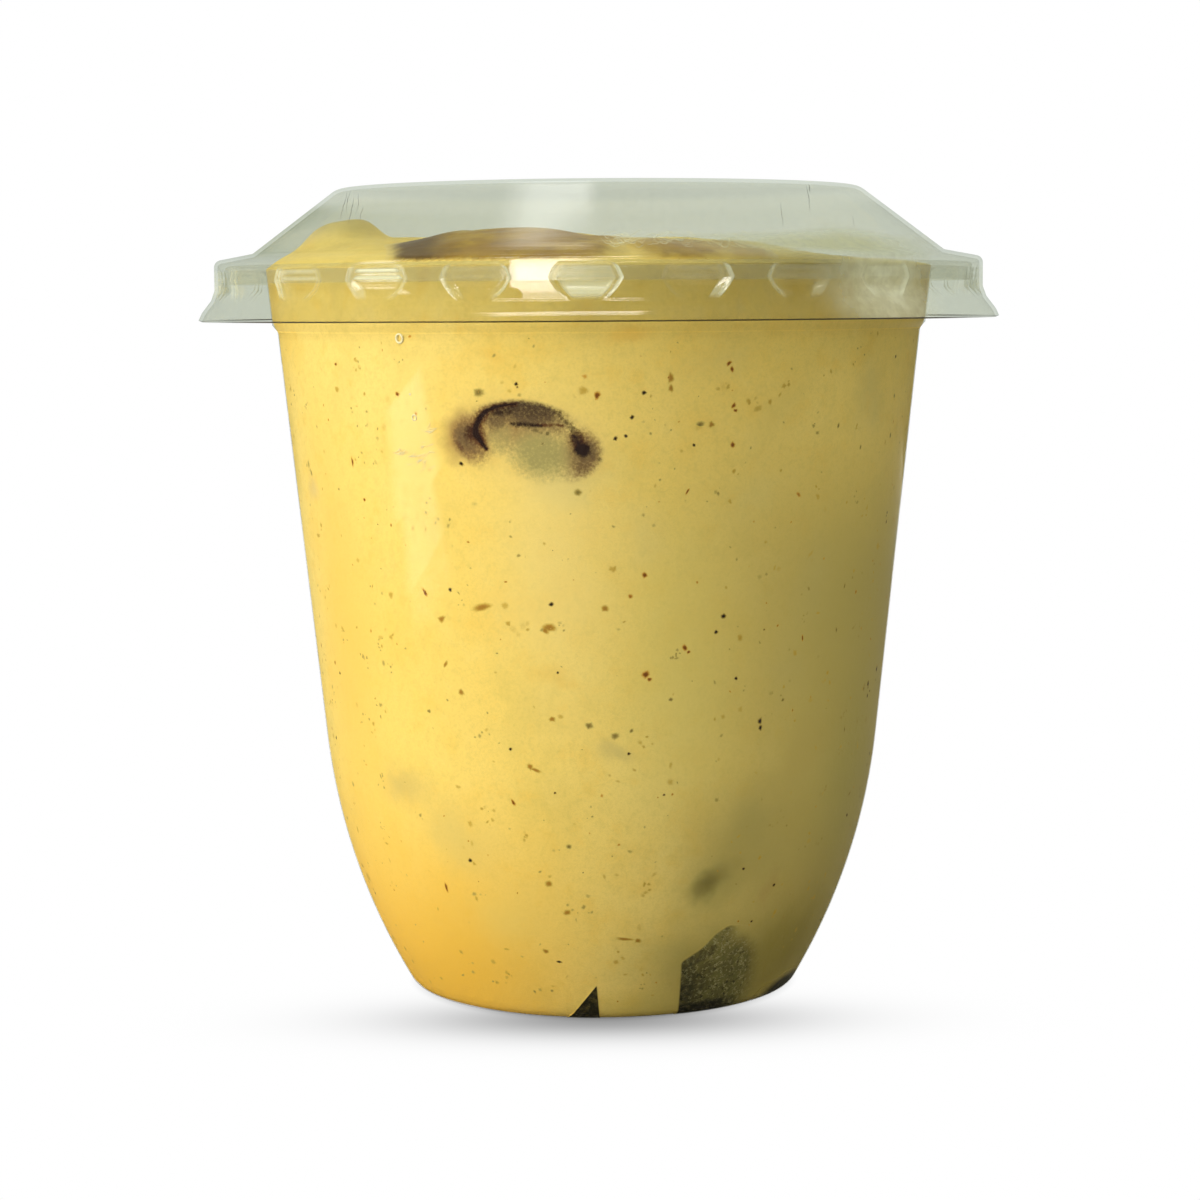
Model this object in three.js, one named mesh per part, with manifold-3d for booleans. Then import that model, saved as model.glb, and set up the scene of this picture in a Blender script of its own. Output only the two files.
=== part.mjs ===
// A clear round-bottomed dessert cup under a low clear dome lid, filled with a smooth
// yellow frozen dessert that holds fruit and dark jelly against the wall.
// Millimetres, +Z up. The origin is the centre of the flat underside, and -Y is the front.
import * as THREE from 'three';
import { mergeVertices } from 'three/addons/utils/BufferGeometryUtils.js';
import Module from 'manifold-3d';

// Clearance between neighbouring pieces
const GAP = 0.3;

// Cup: thin clear plastic, a round belly under a slightly tapered wall
const CUP_WALL = 0.6;
const BASE_EDGE_RADIUS = 25.06;    // where the underside would meet the belly without rounding
const BASE_EDGE_ROUNDING = 2.2;
const BELLY_CORNER_RADIUS = 34.43; // where the lines below and above the belly would meet
const BELLY_CORNER_Z = 16.12;
const BELLY_ROUNDING = 81.3;
const WALL_TAPER = 0.106;          // outward per millimetre of height
const STEP_Z = 86.2;               // small step that keeps stacked cups apart
const STEP_HEIGHT = 0.8;
const STEP_OUT = 0.6;
const RIM_RADIUS = 48.5;
const RIM_TOP_Z = 94.6;
const RIM_LIP_Z = 92.3;            // lower edge of the turned-down rim
const RIM_BEND = 0.6;              // from the wall's skin to where the rim turns outward
const RIM_EDGE_CHAMFER = 0.4;
const CUP_SEGMENTS = 48;

// Lid: clear plastic, a low cone with a flat top, a flange and a skirt over the cup's rim
const LID_WALL = 0.45;
const LID_TOP_Z = 104.5;
const LID_TOP_EDGE_RADIUS = 33.94;
const LID_TOP_EDGE_ROUNDING = 2.5;
const DOME_FOOT_RADIUS = 44.93;
const DOME_FOOT_Z = 96.2;
const SHOULDER_Z = 95.25;
const SHOULDER_ROUNDING = 0.9;
const SKIRT_RADIUS = 49.87;
const FLARE_CREASE_RADIUS = 51.55;
const FLARE_CREASE_Z = 88.65;
const FLARE_TIP_RADIUS = 52.0;
const FLARE_TIP_Z = 87.7;

// Lugs pressed into the lid's skirt, which snap under the cup's rim. Each row across a lug
// has its height, the skirt's radius, half the lug's width in degrees and how deep it goes.
const LUG_COUNT = 24;
const LUG_PHASE = -1.7;            // degrees from the front to the nearest lug's middle
const LUG_FLANK = 1.3;             // degrees from a lug's outline to its floor
const LUG_ROWS = [
  { z: 90.2, radius: 50.35, half: 2.6, depth: 0 },
  { z: 91.5, radius: SKIRT_RADIUS, half: 4.1, depth: 0.85 },
  { z: 92.6, radius: SKIRT_RADIUS, half: 4.9, depth: 0.5 },
  { z: 93.8, radius: SKIRT_RADIUS, half: 4.3, depth: 0.4 },
  { z: 94.35, radius: SKIRT_RADIUS, half: 3.6, depth: 0 },
];
const COLUMNS_PER_LUG = 4;

// Filling: a mound that stands above the cup's rim, with a lump on the left
const FILL_SEGMENTS = 48;
const FILL_EDGE_Z = 94.2;
const MOUND_HEIGHT = 3.5;
const MOUND_FALL = 0.018;          // how much the mound falls per millimetre to the right
const MOUND_FLATNESS = 8;          // the higher, the flatter the middle and the steeper the edge
const LUMP = { x: -30.5, y: -7, height: 2.6, reach: 9 };
const DIMPLES = [
  { x: -11, y: -24, height: -0.8, reach: 8 },
  { x: 16, y: -20, height: 0.5, reach: 9 },
  { x: 6, y: 14, height: 0.6, reach: 14 },
  { x: 28, y: 12, height: -0.6, reach: 10 },
];
const TOP_RING_RADII = [38.5, 31, 21, 10];

// Fruit and jelly at the wall. Bearings are in degrees from the front towards the right.
const FRUIT = { bearing: -12.6, z: 73.1, halfWidth: 9.9, halfHeight: 5.5, depth: 7, tilt: -8.3 };
const JELLY_BLOCK = { bearing: 31, z: 5.2, reach: 23, size: [10.4, 9.5, 12.6], lean: 6, turn: -8 };
const JELLY_SIDE = { bearing: 74, z: 1.6, reach: 22.2, size: [5, 5, 4.4], lean: 0, turn: 12 };
const JELLY_WEDGE = { bearing: -5.6, width: 4.4, height: 5.2, depth: 7, reach: 25.5, apexShare: 0.86 };

const FRONT = -Math.PI / 2;

// ---- outlines: radius and height, from the axis round the outside

// A point on an outline, rounded by an arc of some steps where two straight runs meet.
function corner(radius, z, rounding = 0, steps = 1) {
  return { point: new THREE.Vector2(radius, z), rounding, steps };
}

// Where the line through a, along d, meets the line through b, along e.
function meet(a, d, b, e) {
  const along = b.clone().sub(a).cross(e) / d.cross(e);
  return a.clone().addScaledVector(d, along);
}

// The outline through the corners, moved inward (to the left of its direction) by inset.
function outline(corners, inset) {
  const runs = corners.slice(1).map((next, i) => {
    const direction = next.point.clone().sub(corners[i].point).normalize();
    const inward = new THREE.Vector2(-direction.y, direction.x).multiplyScalar(inset);
    return { direction, start: corners[i].point.clone().add(inward), end: next.point.clone().add(inward) };
  });
  const points = [runs[0].start];
  corners.slice(1, -1).forEach((place, i) => {
    const before = runs[i];
    const after = runs[i + 1];
    const turn = before.direction.cross(after.direction);
    const straight = Math.abs(turn) < 1e-9;
    const tip = straight ? after.start : meet(before.start, before.direction, after.start, after.direction);
    const rounding = place.rounding && place.rounding - Math.sign(turn) * inset;
    if (!rounding) {
      points.push(tip);
      return;
    }
    const angle = Math.asin(Math.min(1, Math.abs(turn)));
    const reach = rounding * Math.tan(angle / 2);
    const side = new THREE.Vector2(-before.direction.y, before.direction.x).multiplyScalar(Math.sign(turn));
    const centre = tip.clone().addScaledVector(before.direction, -reach).addScaledVector(side, rounding);
    for (let step = 0; step <= place.steps; step++) {
      const spoke = side.clone().multiplyScalar(-rounding);
      points.push(spoke.rotateAround(new THREE.Vector2(), Math.sign(turn) * angle * step / place.steps).add(centre));
    }
  });
  points.push(runs.at(-1).end);
  return points;
}

function wallRadius(z) {
  return BELLY_CORNER_RADIUS + (z - BELLY_CORNER_Z) * WALL_TAPER;
}

// The cup's skin, from the middle of the underside up to the given height.
function cupSkin(topZ, inset) {
  const stepTop = STEP_Z + STEP_HEIGHT;
  const corners = [
    corner(0, 0),
    corner(BASE_EDGE_RADIUS, 0, BASE_EDGE_ROUNDING, 2),
    corner(BELLY_CORNER_RADIUS, BELLY_CORNER_Z, BELLY_ROUNDING, 5),
    corner(wallRadius(STEP_Z), STEP_Z),
    corner(wallRadius(stepTop) + STEP_OUT, stepTop),
    corner(wallRadius(topZ) + STEP_OUT, topZ),
  ];
  return outline(corners, inset);
}

function cupOutline() {
  const flangeZ = RIM_TOP_Z - CUP_WALL;
  const neck = wallRadius(flangeZ) + STEP_OUT;
  const outside = cupSkin(flangeZ - RIM_BEND, 0);
  const inside = cupSkin(flangeZ, CUP_WALL).reverse();
  const rim = [
    [neck + RIM_BEND, flangeZ],
    [RIM_RADIUS - CUP_WALL, flangeZ],
    [RIM_RADIUS - CUP_WALL, RIM_LIP_Z],
    [RIM_RADIUS, RIM_LIP_Z],
    [RIM_RADIUS, RIM_TOP_Z - RIM_EDGE_CHAMFER],
    [RIM_RADIUS - RIM_EDGE_CHAMFER, RIM_TOP_Z],
    [neck, RIM_TOP_Z],
  ];
  return [...outside, ...rim.map(([radius, z]) => new THREE.Vector2(radius, z)), ...inside];
}

function lidSkin(inset) {
  const corners = [
    corner(FLARE_TIP_RADIUS, FLARE_TIP_Z),
    corner(FLARE_CREASE_RADIUS, FLARE_CREASE_Z),
    ...LUG_ROWS.map((row) => corner(row.radius, row.z)),
    corner(SKIRT_RADIUS, SHOULDER_Z, SHOULDER_ROUNDING, 1),
    corner(DOME_FOOT_RADIUS, DOME_FOOT_Z),
    corner(LID_TOP_EDGE_RADIUS, LID_TOP_Z, LID_TOP_EDGE_ROUNDING, 1),
    corner(0, LID_TOP_Z),
  ];
  return outline(corners, inset);
}

// ---- solids

function turned(points, segments) {
  return new THREE.LatheGeometry(points, segments).rotateX(Math.PI / 2);
}

function closed(geometry) {
  geometry.deleteAttribute('normal');
  geometry.deleteAttribute('uv');
  return mergeVertices(geometry, 1e-4);
}

// Moves every vertex of a turned shape: place(column, row) says to which angle and how far in.
function pressed(geometry, rowCount, place) {
  const position = geometry.attributes.position;
  for (let i = 0; i < position.count; i++) {
    const radius = Math.hypot(position.getX(i), position.getY(i));
    const { angle, depth } = place(Math.floor(i / rowCount), i % rowCount);
    const bearing = FRONT + THREE.MathUtils.degToRad(angle);
    position.setX(i, (radius - depth) * Math.cos(bearing));
    position.setY(i, (radius - depth) * Math.sin(bearing));
  }
  return geometry;
}

function lidGeometry() {
  const inside = lidSkin(LID_WALL).reverse();
  const outside = lidSkin(0);
  const points = [...inside, ...outside];
  const firstLugRow = 2;
  const rowCount = points.length;
  const columnCount = LUG_COUNT * COLUMNS_PER_LUG;
  const lugRowAt = (row) => {
    const fromTip = row < inside.length ? inside.length - 1 - row : row - inside.length;
    return LUG_ROWS[fromTip - firstLugRow] ?? { half: LUG_ROWS[1].half, depth: 0 };
  };
  const place = (column, row) => {
    const { half, depth } = lugRowAt(row);
    const lug = Math.floor((column % columnCount) / COLUMNS_PER_LUG);
    const spot = column % COLUMNS_PER_LUG;
    const floor = spot === 1 || spot === 2;
    const fromMiddle = (floor ? half - LUG_FLANK : half) * (spot < 2 ? -1 : 1);
    return { angle: LUG_PHASE + lug * 360 / LUG_COUNT + fromMiddle, depth: floor ? depth : 0 };
  };
  return closed(pressed(turned(points, columnCount), rowCount, place));
}

function bump(x, y, spot) {
  const distance = Math.hypot(x - spot.x, y - spot.y) / spot.reach;
  return spot.height * Math.exp(-distance * distance);
}

// Height of the filling's surface. It meets the wall at FILL_EDGE_Z.
function moundZ(x, y, edgeRadius) {
  const toEdge = 1 - (Math.hypot(x, y) / edgeRadius) ** MOUND_FLATNESS;
  const relief = [LUMP, ...DIMPLES].reduce((sum, spot) => sum + bump(x, y, spot), 0);
  return FILL_EDGE_Z + Math.max(0, toEdge) * (MOUND_HEIGHT - x * MOUND_FALL + relief);
}

function fillingBody() {
  const side = cupSkin(FILL_EDGE_Z, CUP_WALL + GAP);
  const edge = side.at(-1).x;
  const top = [...TOP_RING_RADII, 0].map((radius) => new THREE.Vector2(radius, FILL_EDGE_Z));
  const geometry = closed(turned([...side, ...top], FILL_SEGMENTS));
  const position = geometry.attributes.position;
  for (let i = 0; i < position.count; i++) {
    if (Math.abs(position.getZ(i) - FILL_EDGE_Z) < 1e-3) {
      position.setZ(i, moundZ(position.getX(i), position.getY(i), edge));
    }
  }
  return geometry;
}

// Puts a shape made round the origin, with its front to -Y, at a bearing round the cup.
function at(geometry, bearing, reach, z) {
  const angle = THREE.MathUtils.degToRad(bearing);
  geometry.translate(0, -reach, 0).rotateZ(angle).translate(0, 0, z);
  return closed(geometry);
}

function fruitGeometry(grow) {
  const surface = wallRadius(FRUIT.z) - CUP_WALL - GAP;
  const geometry = new THREE.SphereGeometry(1, 18, 10);
  geometry.scale(FRUIT.halfWidth + grow, FRUIT.depth + grow, FRUIT.halfHeight + grow);
  geometry.rotateY(-THREE.MathUtils.degToRad(FRUIT.tilt));
  return at(geometry, FRUIT.bearing, surface, FRUIT.z);
}

function blockGeometry(block, grow) {
  const geometry = new THREE.BoxGeometry(...block.size.map((side) => side + 2 * grow));
  geometry.rotateY(THREE.MathUtils.degToRad(block.lean));
  geometry.rotateZ(THREE.MathUtils.degToRad(block.turn));
  return at(geometry, block.bearing, block.reach, block.z);
}

function wedgeGeometry(grow) {
  const { width, height, depth, apexShare } = JELLY_WEDGE;
  const shape = new THREE.Shape([
    new THREE.Vector2(-width / 2 - 2 * grow, -grow),
    new THREE.Vector2(width / 2 + grow, -grow),
    new THREE.Vector2(width * (apexShare - 0.5), height + 2 * grow),
  ]);
  const geometry = new THREE.ExtrudeGeometry(shape, { depth: depth + grow, bevelEnabled: false });
  geometry.rotateX(Math.PI / 2).translate(0, depth + grow, 0);
  return at(geometry, JELLY_WEDGE.bearing, JELLY_WEDGE.reach, 0);
}

// ---- joining and cutting

const wasm = await Module();
wasm.setup();

function solid(geometry) {
  return new wasm.Manifold(new wasm.Mesh({
    numProp: 3,
    vertProperties: new Float32Array(geometry.attributes.position.array),
    triVerts: new Uint32Array(geometry.index.array),
  }));
}

function geometryOf(body) {
  const mesh = body.getMesh();
  const geometry = new THREE.BufferGeometry();
  geometry.setAttribute('position', new THREE.BufferAttribute(mesh.vertProperties, 3));
  geometry.setIndex(new THREE.BufferAttribute(mesh.triVerts, 1));
  geometry.computeVertexNormals();
  return geometry;
}

// What lies in the filling, cut off at the filling's own skin, and the filling cut clear of it.
function fillingAndInserts(makers) {
  const whole = solid(fillingBody());
  const inserts = {};
  let filling = whole;
  for (const [name, make] of Object.entries(makers)) {
    inserts[name] = geometryOf(solid(make(0)).intersect(whole));
    filling = filling.subtract(solid(make(GAP)));
  }
  return { filling: geometryOf(filling), ...inserts };
}

// ---- the tub

function piece(name, geometry, look) {
  const material = new THREE.MeshStandardMaterial({ roughness: 0.5, metalness: 0, ...look });
  const mesh = new THREE.Mesh(geometry, material);
  mesh.name = name;
  return mesh;
}

const CLEAR = { color: 0xdfe4dc, roughness: 0.08, transparent: true, opacity: 0.35 };
const JELLY = { color: 0x3f4126, roughness: 0.3 };

const contents = fillingAndInserts({
  fruit_half: fruitGeometry,
  jelly_block: (grow) => blockGeometry(JELLY_BLOCK, grow),
  jelly_side: (grow) => blockGeometry(JELLY_SIDE, grow),
  jelly_wedge: wedgeGeometry,
});

const tub = new THREE.Group();
tub.add(
  piece('cup', closed(turned(cupOutline(), CUP_SEGMENTS)), CLEAR),
  piece('lid', lidGeometry(), CLEAR),
  piece('filling', contents.filling, { color: 0xecca76, roughness: 0.55 }),
  piece('fruit_half', contents.fruit_half, { color: 0x4d3a33, roughness: 0.35 }),
  piece('jelly_block', contents.jelly_block, JELLY),
  piece('jelly_side', contents.jelly_side, JELLY),
  piece('jelly_wedge', contents.jelly_wedge, JELLY),
);

export default tub;
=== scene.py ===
"""A clear round-bottomed dessert cup under a clear dome lid, filled with a speckled yellow frozen dessert.

Sizes are in millimetres, as in the CAD part, and every mesh is written in metres.
Bearings are in degrees round the cup, from the front (-Y) towards the right (+X).
"""
import math

import bpy
import numpy as np
from mathutils import Matrix, Vector


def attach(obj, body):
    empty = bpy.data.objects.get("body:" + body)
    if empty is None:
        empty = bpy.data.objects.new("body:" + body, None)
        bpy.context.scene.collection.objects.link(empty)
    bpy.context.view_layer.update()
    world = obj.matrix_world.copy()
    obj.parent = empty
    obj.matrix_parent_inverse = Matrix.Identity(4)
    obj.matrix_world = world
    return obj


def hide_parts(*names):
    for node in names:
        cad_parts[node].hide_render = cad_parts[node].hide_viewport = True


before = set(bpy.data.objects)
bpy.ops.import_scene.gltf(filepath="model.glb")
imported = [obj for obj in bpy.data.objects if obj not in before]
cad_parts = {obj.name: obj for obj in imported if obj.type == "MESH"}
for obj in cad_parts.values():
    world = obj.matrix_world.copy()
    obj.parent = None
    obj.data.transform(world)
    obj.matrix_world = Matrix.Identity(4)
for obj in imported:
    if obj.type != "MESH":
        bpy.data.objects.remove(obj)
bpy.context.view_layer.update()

MM = 0.001
TINY = 1e-9                 # lengths and turns under this count as none

# ---- the part's own dimensions

CUP_WALL = 0.6
BASE_EDGE_RADIUS = 25.06
BASE_EDGE_ROUNDING = 2.2
BELLY_CORNER_RADIUS = 34.43
BELLY_CORNER_Z = 16.12
BELLY_ROUNDING = 81.3
WALL_TAPER = 0.106
STEP_Z = 86.2
STEP_HEIGHT = 0.8
STEP_OUT = 0.6
RIM_RADIUS = 48.5
RIM_TOP_Z = 94.6
RIM_LIP_Z = 92.3
RIM_BEND = 0.6

LID_WALL = 0.45
LID_TOP_Z = 104.5
LID_TOP_EDGE_RADIUS = 33.94
LID_TOP_EDGE_ROUNDING = 2.5
DOME_FOOT_RADIUS = 44.93
DOME_FOOT_Z = 96.2
SHOULDER_Z = 95.25
SHOULDER_ROUNDING = 0.9
SKIRT_RADIUS = 49.87
FLARE_CREASE_RADIUS = 51.55
FLARE_CREASE_Z = 88.65
FLARE_CREASE_ROUNDING = 2.5
FLARE_TIP_RADIUS = 51.98
FLARE_TIP_Z = 87.7

# Each row across a lug: height, the skirt's radius, half the lug's width in degrees, depth.
LUG_COUNT = 24
LUG_PHASE = -1.7
LUG_FLANK = 1.3
LUG_ROWS = [
    (90.2, 50.35, 2.6, 0.0),
    (91.5, SKIRT_RADIUS, 4.1, 0.85),
    (92.6, SKIRT_RADIUS, 4.9, 0.5),
    (93.8, SKIRT_RADIUS, 4.3, 0.4),
    (94.35, SKIRT_RADIUS, 3.6, 0.0),
]

FILL_INSET = 0.10           # the filling's skin lies inside the wall's thickness, so no air shows
FILL_EDGE_Z = 94.2
MOUND_HEIGHT = 3.3
MOUND_FALL = 0.034
MOUND_FLATNESS = 8
# Bumps and hollows in the filling's top: x, y, height, reach across, reach in depth and power
MOUND_BUMPS = [
    (-32.9, -8.0, 2.6, 5.0, 8.0, 5),
    (-9.5, -22.0, 1.0, 9.0, 9.0, 2),
    (-23.5, -20.0, -1.0, 4.0, 12.0, 2),
    (14.0, -20.0, 0.5, 9.0, 9.0, 2),
    (6.0, 14.0, 0.6, 14.0, 14.0, 2),
    (31.0, -4.0, -1.5, 9.0, 26.0, 2),
]

FRUIT_BEARING = -12.6
FRUIT_Z = 73.1
FRUIT_HALF_WIDTH = 9.9
FRUIT_HALF_HEIGHT = 5.5
FRUIT_DEPTH = 7.0
FRUIT_TILT = -8.3


# ---- outlines and the cup's skin

def corner(radius, z, rounding=0.0, steps=1):
    """A corner of an outline, rounded by an arc of some steps."""
    return np.array([radius, z], float), rounding, steps


def cross(a, b):
    return a[0] * b[1] - a[1] * b[0]


def left_of(direction):
    return np.array([-direction[1], direction[0]])


def outline(corners, inset):
    """The points of an outline through the corners, moved to the left of its direction by inset."""
    runs = []
    for (start, _, _), (end, _, _) in zip(corners, corners[1:]):
        direction = (end - start) / np.linalg.norm(end - start)
        runs.append((direction, start + left_of(direction) * inset, end + left_of(direction) * inset))
    points = [runs[0][1]]
    for (_, rounding, steps), before, after in zip(corners[1:-1], runs, runs[1:]):
        turn = cross(before[0], after[0])
        if abs(turn) < TINY:
            tip = after[1]
        else:
            tip = before[1] + before[0] * cross(after[1] - before[1], after[0]) / turn
        radius = rounding - np.sign(turn) * inset if rounding else 0.0
        if radius <= 0:
            points.append(tip)
            continue
        angle = math.asin(min(1.0, abs(turn)))
        side = left_of(before[0]) * np.sign(turn)
        centre = tip - before[0] * radius * math.tan(angle / 2) + side * radius
        for step in range(steps + 1):
            swing = np.sign(turn) * angle * step / steps
            c, s = math.cos(swing), math.sin(swing)
            spoke = -side * radius
            points.append(centre + np.array([c * spoke[0] - s * spoke[1], s * spoke[0] + c * spoke[1]]))
    points.append(runs[-1][2])
    return np.array(points)


def wall_radius(z):
    return BELLY_CORNER_RADIUS + (z - BELLY_CORNER_Z) * WALL_TAPER


def cup_skin(top_z, inset):
    """The cup's skin, from the middle of the underside up to a height."""
    step_top = STEP_Z + STEP_HEIGHT
    corners = [
        corner(0, 0),
        corner(BASE_EDGE_RADIUS, 0, BASE_EDGE_ROUNDING, 8),
        corner(BELLY_CORNER_RADIUS, BELLY_CORNER_Z, BELLY_ROUNDING, 24),
        corner(wall_radius(STEP_Z), STEP_Z),
        corner(wall_radius(step_top) + STEP_OUT, step_top),
        corner(wall_radius(top_z) + STEP_OUT, top_z),
    ]
    return outline(corners, inset)


def along(points):
    """How far each point of a line is along it."""
    steps = np.linalg.norm(np.diff(points, axis=0), axis=1)
    return np.concatenate([[0.0], np.cumsum(steps)])


SKIN = cup_skin(FILL_EDGE_Z, 0.0)
SKIN_ALONG = along(SKIN)
SLOPE_STEP = 0.2            # the skin's slope is taken over this much of it, each way
LEAST_RADIUS = 5.0          # nearer the axis than this, the underside is taken to turn no faster


def skin_at(z):
    """How far along the skin, from the middle of the underside, the wall has a height."""
    return float(np.interp(z, SKIN[1:, 1], SKIN_ALONG[1:]))


def skin_point(reach):
    """The radius and height of the wall, reach along its skin."""
    return np.interp(reach, SKIN_ALONG, SKIN[:, 0]), np.interp(reach, SKIN_ALONG, SKIN[:, 1])


def at_bearing(bearing, radius, z):
    """Places at bearings, radii and heights, each a number or an array."""
    angle = np.radians(bearing)
    return np.stack(np.broadcast_arrays(radius * np.sin(angle), -radius * np.cos(angle), z), axis=-1)


def on_wall(bearing, reach, inset):
    """Places on the wall, reach along the skin and inset inward of the skin. All may be arrays."""
    reach = np.asarray(reach, float)
    radius, z = skin_point(reach)
    steps = (SLOPE_STEP, -SLOPE_STEP)
    ahead, behind = (skin_point(np.clip(reach + step, 0, SKIN_ALONG[-1])) for step in steps)
    d_radius, d_z = ahead[0] - behind[0], ahead[1] - behind[1]
    length = np.hypot(d_radius, d_z)
    return at_bearing(bearing, radius - d_z / length * inset, z + d_radius / length * inset)


def beside(bearing, middle, across, up, lowest, inset):
    """Places on the wall, across and up it in millimetres from a bearing and a reach along the skin."""
    run = np.clip(middle + up, lowest, SKIN_ALONG[-1])
    radius = np.maximum(skin_point(run)[0], LEAST_RADIUS)
    return on_wall(bearing + np.degrees(across / radius), run, inset)


def smooth(low, high, value):
    """0 below low, 1 above high, and an even rise between."""
    t = np.clip((np.asarray(value, float) - low) / (high - low), 0, 1)
    return t * t * (3 - 2 * t)


# ---- meshes
def make_mesh(name, places_mm, faces, material, sharp_deg=None):
    """A mesh piece from places in millimetres, smooth but for edges sharper than an angle."""
    mesh = bpy.data.meshes.new(name)
    mesh.from_pydata((np.asarray(places_mm, float) * MM).tolist(), [], faces)
    mesh.validate()
    mesh.shade_smooth()
    if sharp_deg is not None:
        mesh.set_sharp_from_angle(angle=math.radians(sharp_deg))
    mesh.materials.append(material)
    piece = bpy.data.objects.new(name, mesh)
    bpy.context.scene.collection.objects.link(piece)
    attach(piece, "root")
    return piece


def turned(radius, z, bearings, lessening=0.0):
    """A ring of places round the axis. A ring of no radius is one place."""
    if radius < TINY:
        return np.array([(0.0, 0.0, z)])
    return at_bearing(bearings, radius - lessening, z)


def skin_of(rings):
    """Places and faces of the skin over a row of rings. A ring is many places round, or one."""
    starts = np.cumsum([0] + [len(ring) for ring in rings]).tolist()
    columns = max(len(ring) for ring in rings)
    faces = []
    for index, (lower, upper) in enumerate(zip(rings, rings[1:])):
        for column in range(columns):
            after = (column + 1) % columns
            ends = [starts[index] + column % len(lower), starts[index] + after % len(lower)]
            ends += [starts[index + 1] + after % len(upper), starts[index + 1] + column % len(upper)]
            faces.append(tuple(dict.fromkeys(ends)))
    return np.concatenate(rings), faces


def add_values(piece, name, values):
    """Stores one number for each vertex, for the piece's material to read."""
    layer = piece.data.attributes.new(name, "FLOAT", "POINT")
    layer.data.foreach_set("value", np.asarray(values, np.float32))


# ---- node trees

class Nodes:
    """Builds one material's or world's nodes, and hands out their sockets."""

    def __init__(self, owner):
        owner.use_nodes = True
        self.tree = owner.node_tree
        self.tree.nodes.clear()

    def add(self, kind, inputs=None, **settings):
        node = self.tree.nodes.new(kind)
        for name, value in settings.items():
            setattr(node, name, value)
        for name, value in (inputs or {}).items():
            self.feed(node.inputs[name], value)
        return node

    def feed(self, socket, value):
        if isinstance(value, bpy.types.NodeSocket):
            self.tree.links.new(value, socket)
        else:
            socket.default_value = value

    def math(self, operation, *values, clamp=False):
        node = self.add("ShaderNodeMath", operation=operation, use_clamp=clamp)
        for socket, value in zip(node.inputs, values):
            self.feed(socket, value)
        return node.outputs[0]

    def times(self, *values):
        """The product of sockets or numbers."""
        product = values[0]
        for value in values[1:]:
            product = self.math("MULTIPLY", product, value)
        return product

    def vector(self, operation, *values):
        node = self.add("ShaderNodeVectorMath", dict(enumerate(values)), operation=operation)
        return node.outputs["Value" if operation in ("LENGTH", "DOT_PRODUCT") else "Vector"]

    def mix(self, factor, a, b):
        node = self.add("ShaderNodeMix", data_type="RGBA")
        self.feed(node.inputs[0], factor)
        self.feed(node.inputs[6], a if isinstance(a, bpy.types.NodeSocket) else (*a, 1))
        self.feed(node.inputs[7], b if isinstance(b, bpy.types.NodeSocket) else (*b, 1))
        return node.outputs[2]

    def ramp(self, value, low, high, to_low=0.0, to_high=1.0):
        """Takes low to high over to to_low to to_high, with soft ends."""
        inputs = {"Value": value, "From Min": low, "From Max": high, "To Min": to_low, "To Max": to_high}
        return self.add("ShaderNodeMapRange", inputs, interpolation_type="SMOOTHSTEP").outputs[0]

    def noise(self, place, scale, detail=2.0, roughness=0.5):
        """Noise of a scale in cycles per metre."""
        inputs = {"Vector": place, "Scale": scale, "Detail": detail, "Roughness": roughness}
        return self.add("ShaderNodeTexNoise", inputs).outputs[0]

    def split(self, place):
        """The X, Y and Z of a place."""
        return self.add("ShaderNodeSeparateXYZ", {"Vector": place}).outputs

    def facing(self):
        """0 where the surface faces the viewer, 1 where it is seen edge on."""
        return self.add("ShaderNodeLayerWeight", {"Blend": 0.5}).outputs["Facing"]

    def value(self, name):
        return self.add("ShaderNodeAttribute", attribute_name=name).outputs["Fac"]

    def surface(self, shader):
        output = self.add("ShaderNodeOutputMaterial")
        self.tree.links.new(shader, output.inputs["Surface"])


def new_material(name):
    """A material, its nodes, and the socket that gives places on its piece."""
    material = bpy.data.materials.new(name)
    nodes = Nodes(material)
    return material, nodes, nodes.add("ShaderNodeTexCoord").outputs["Object"]


# ---- the filling's colour, shared by all that fades into it

CREAM = (0.93, 0.69, 0.165)
CREAM_PALE = (0.95, 0.735, 0.215)
CREAM_DEEP = (0.91, 0.63, 0.125)
# Painted shade: the cream made orange and darker, for its lower left
CREAM_LOW_SHADE = (0.90, 0.555, 0.075)
CREAM_DULL = (0.66, 0.52, 0.12)
# Painted shade: darker, duller copies of the cream, for its right side and for the top of its mound
CREAM_SHADE = (0.56, 0.445, 0.115)
CREAM_TOP_SHADE = (0.57, 0.465, 0.150)

OVAL_SHIFT = 0.006        # how far the noise moves the outline of a mark, in metres
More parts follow.
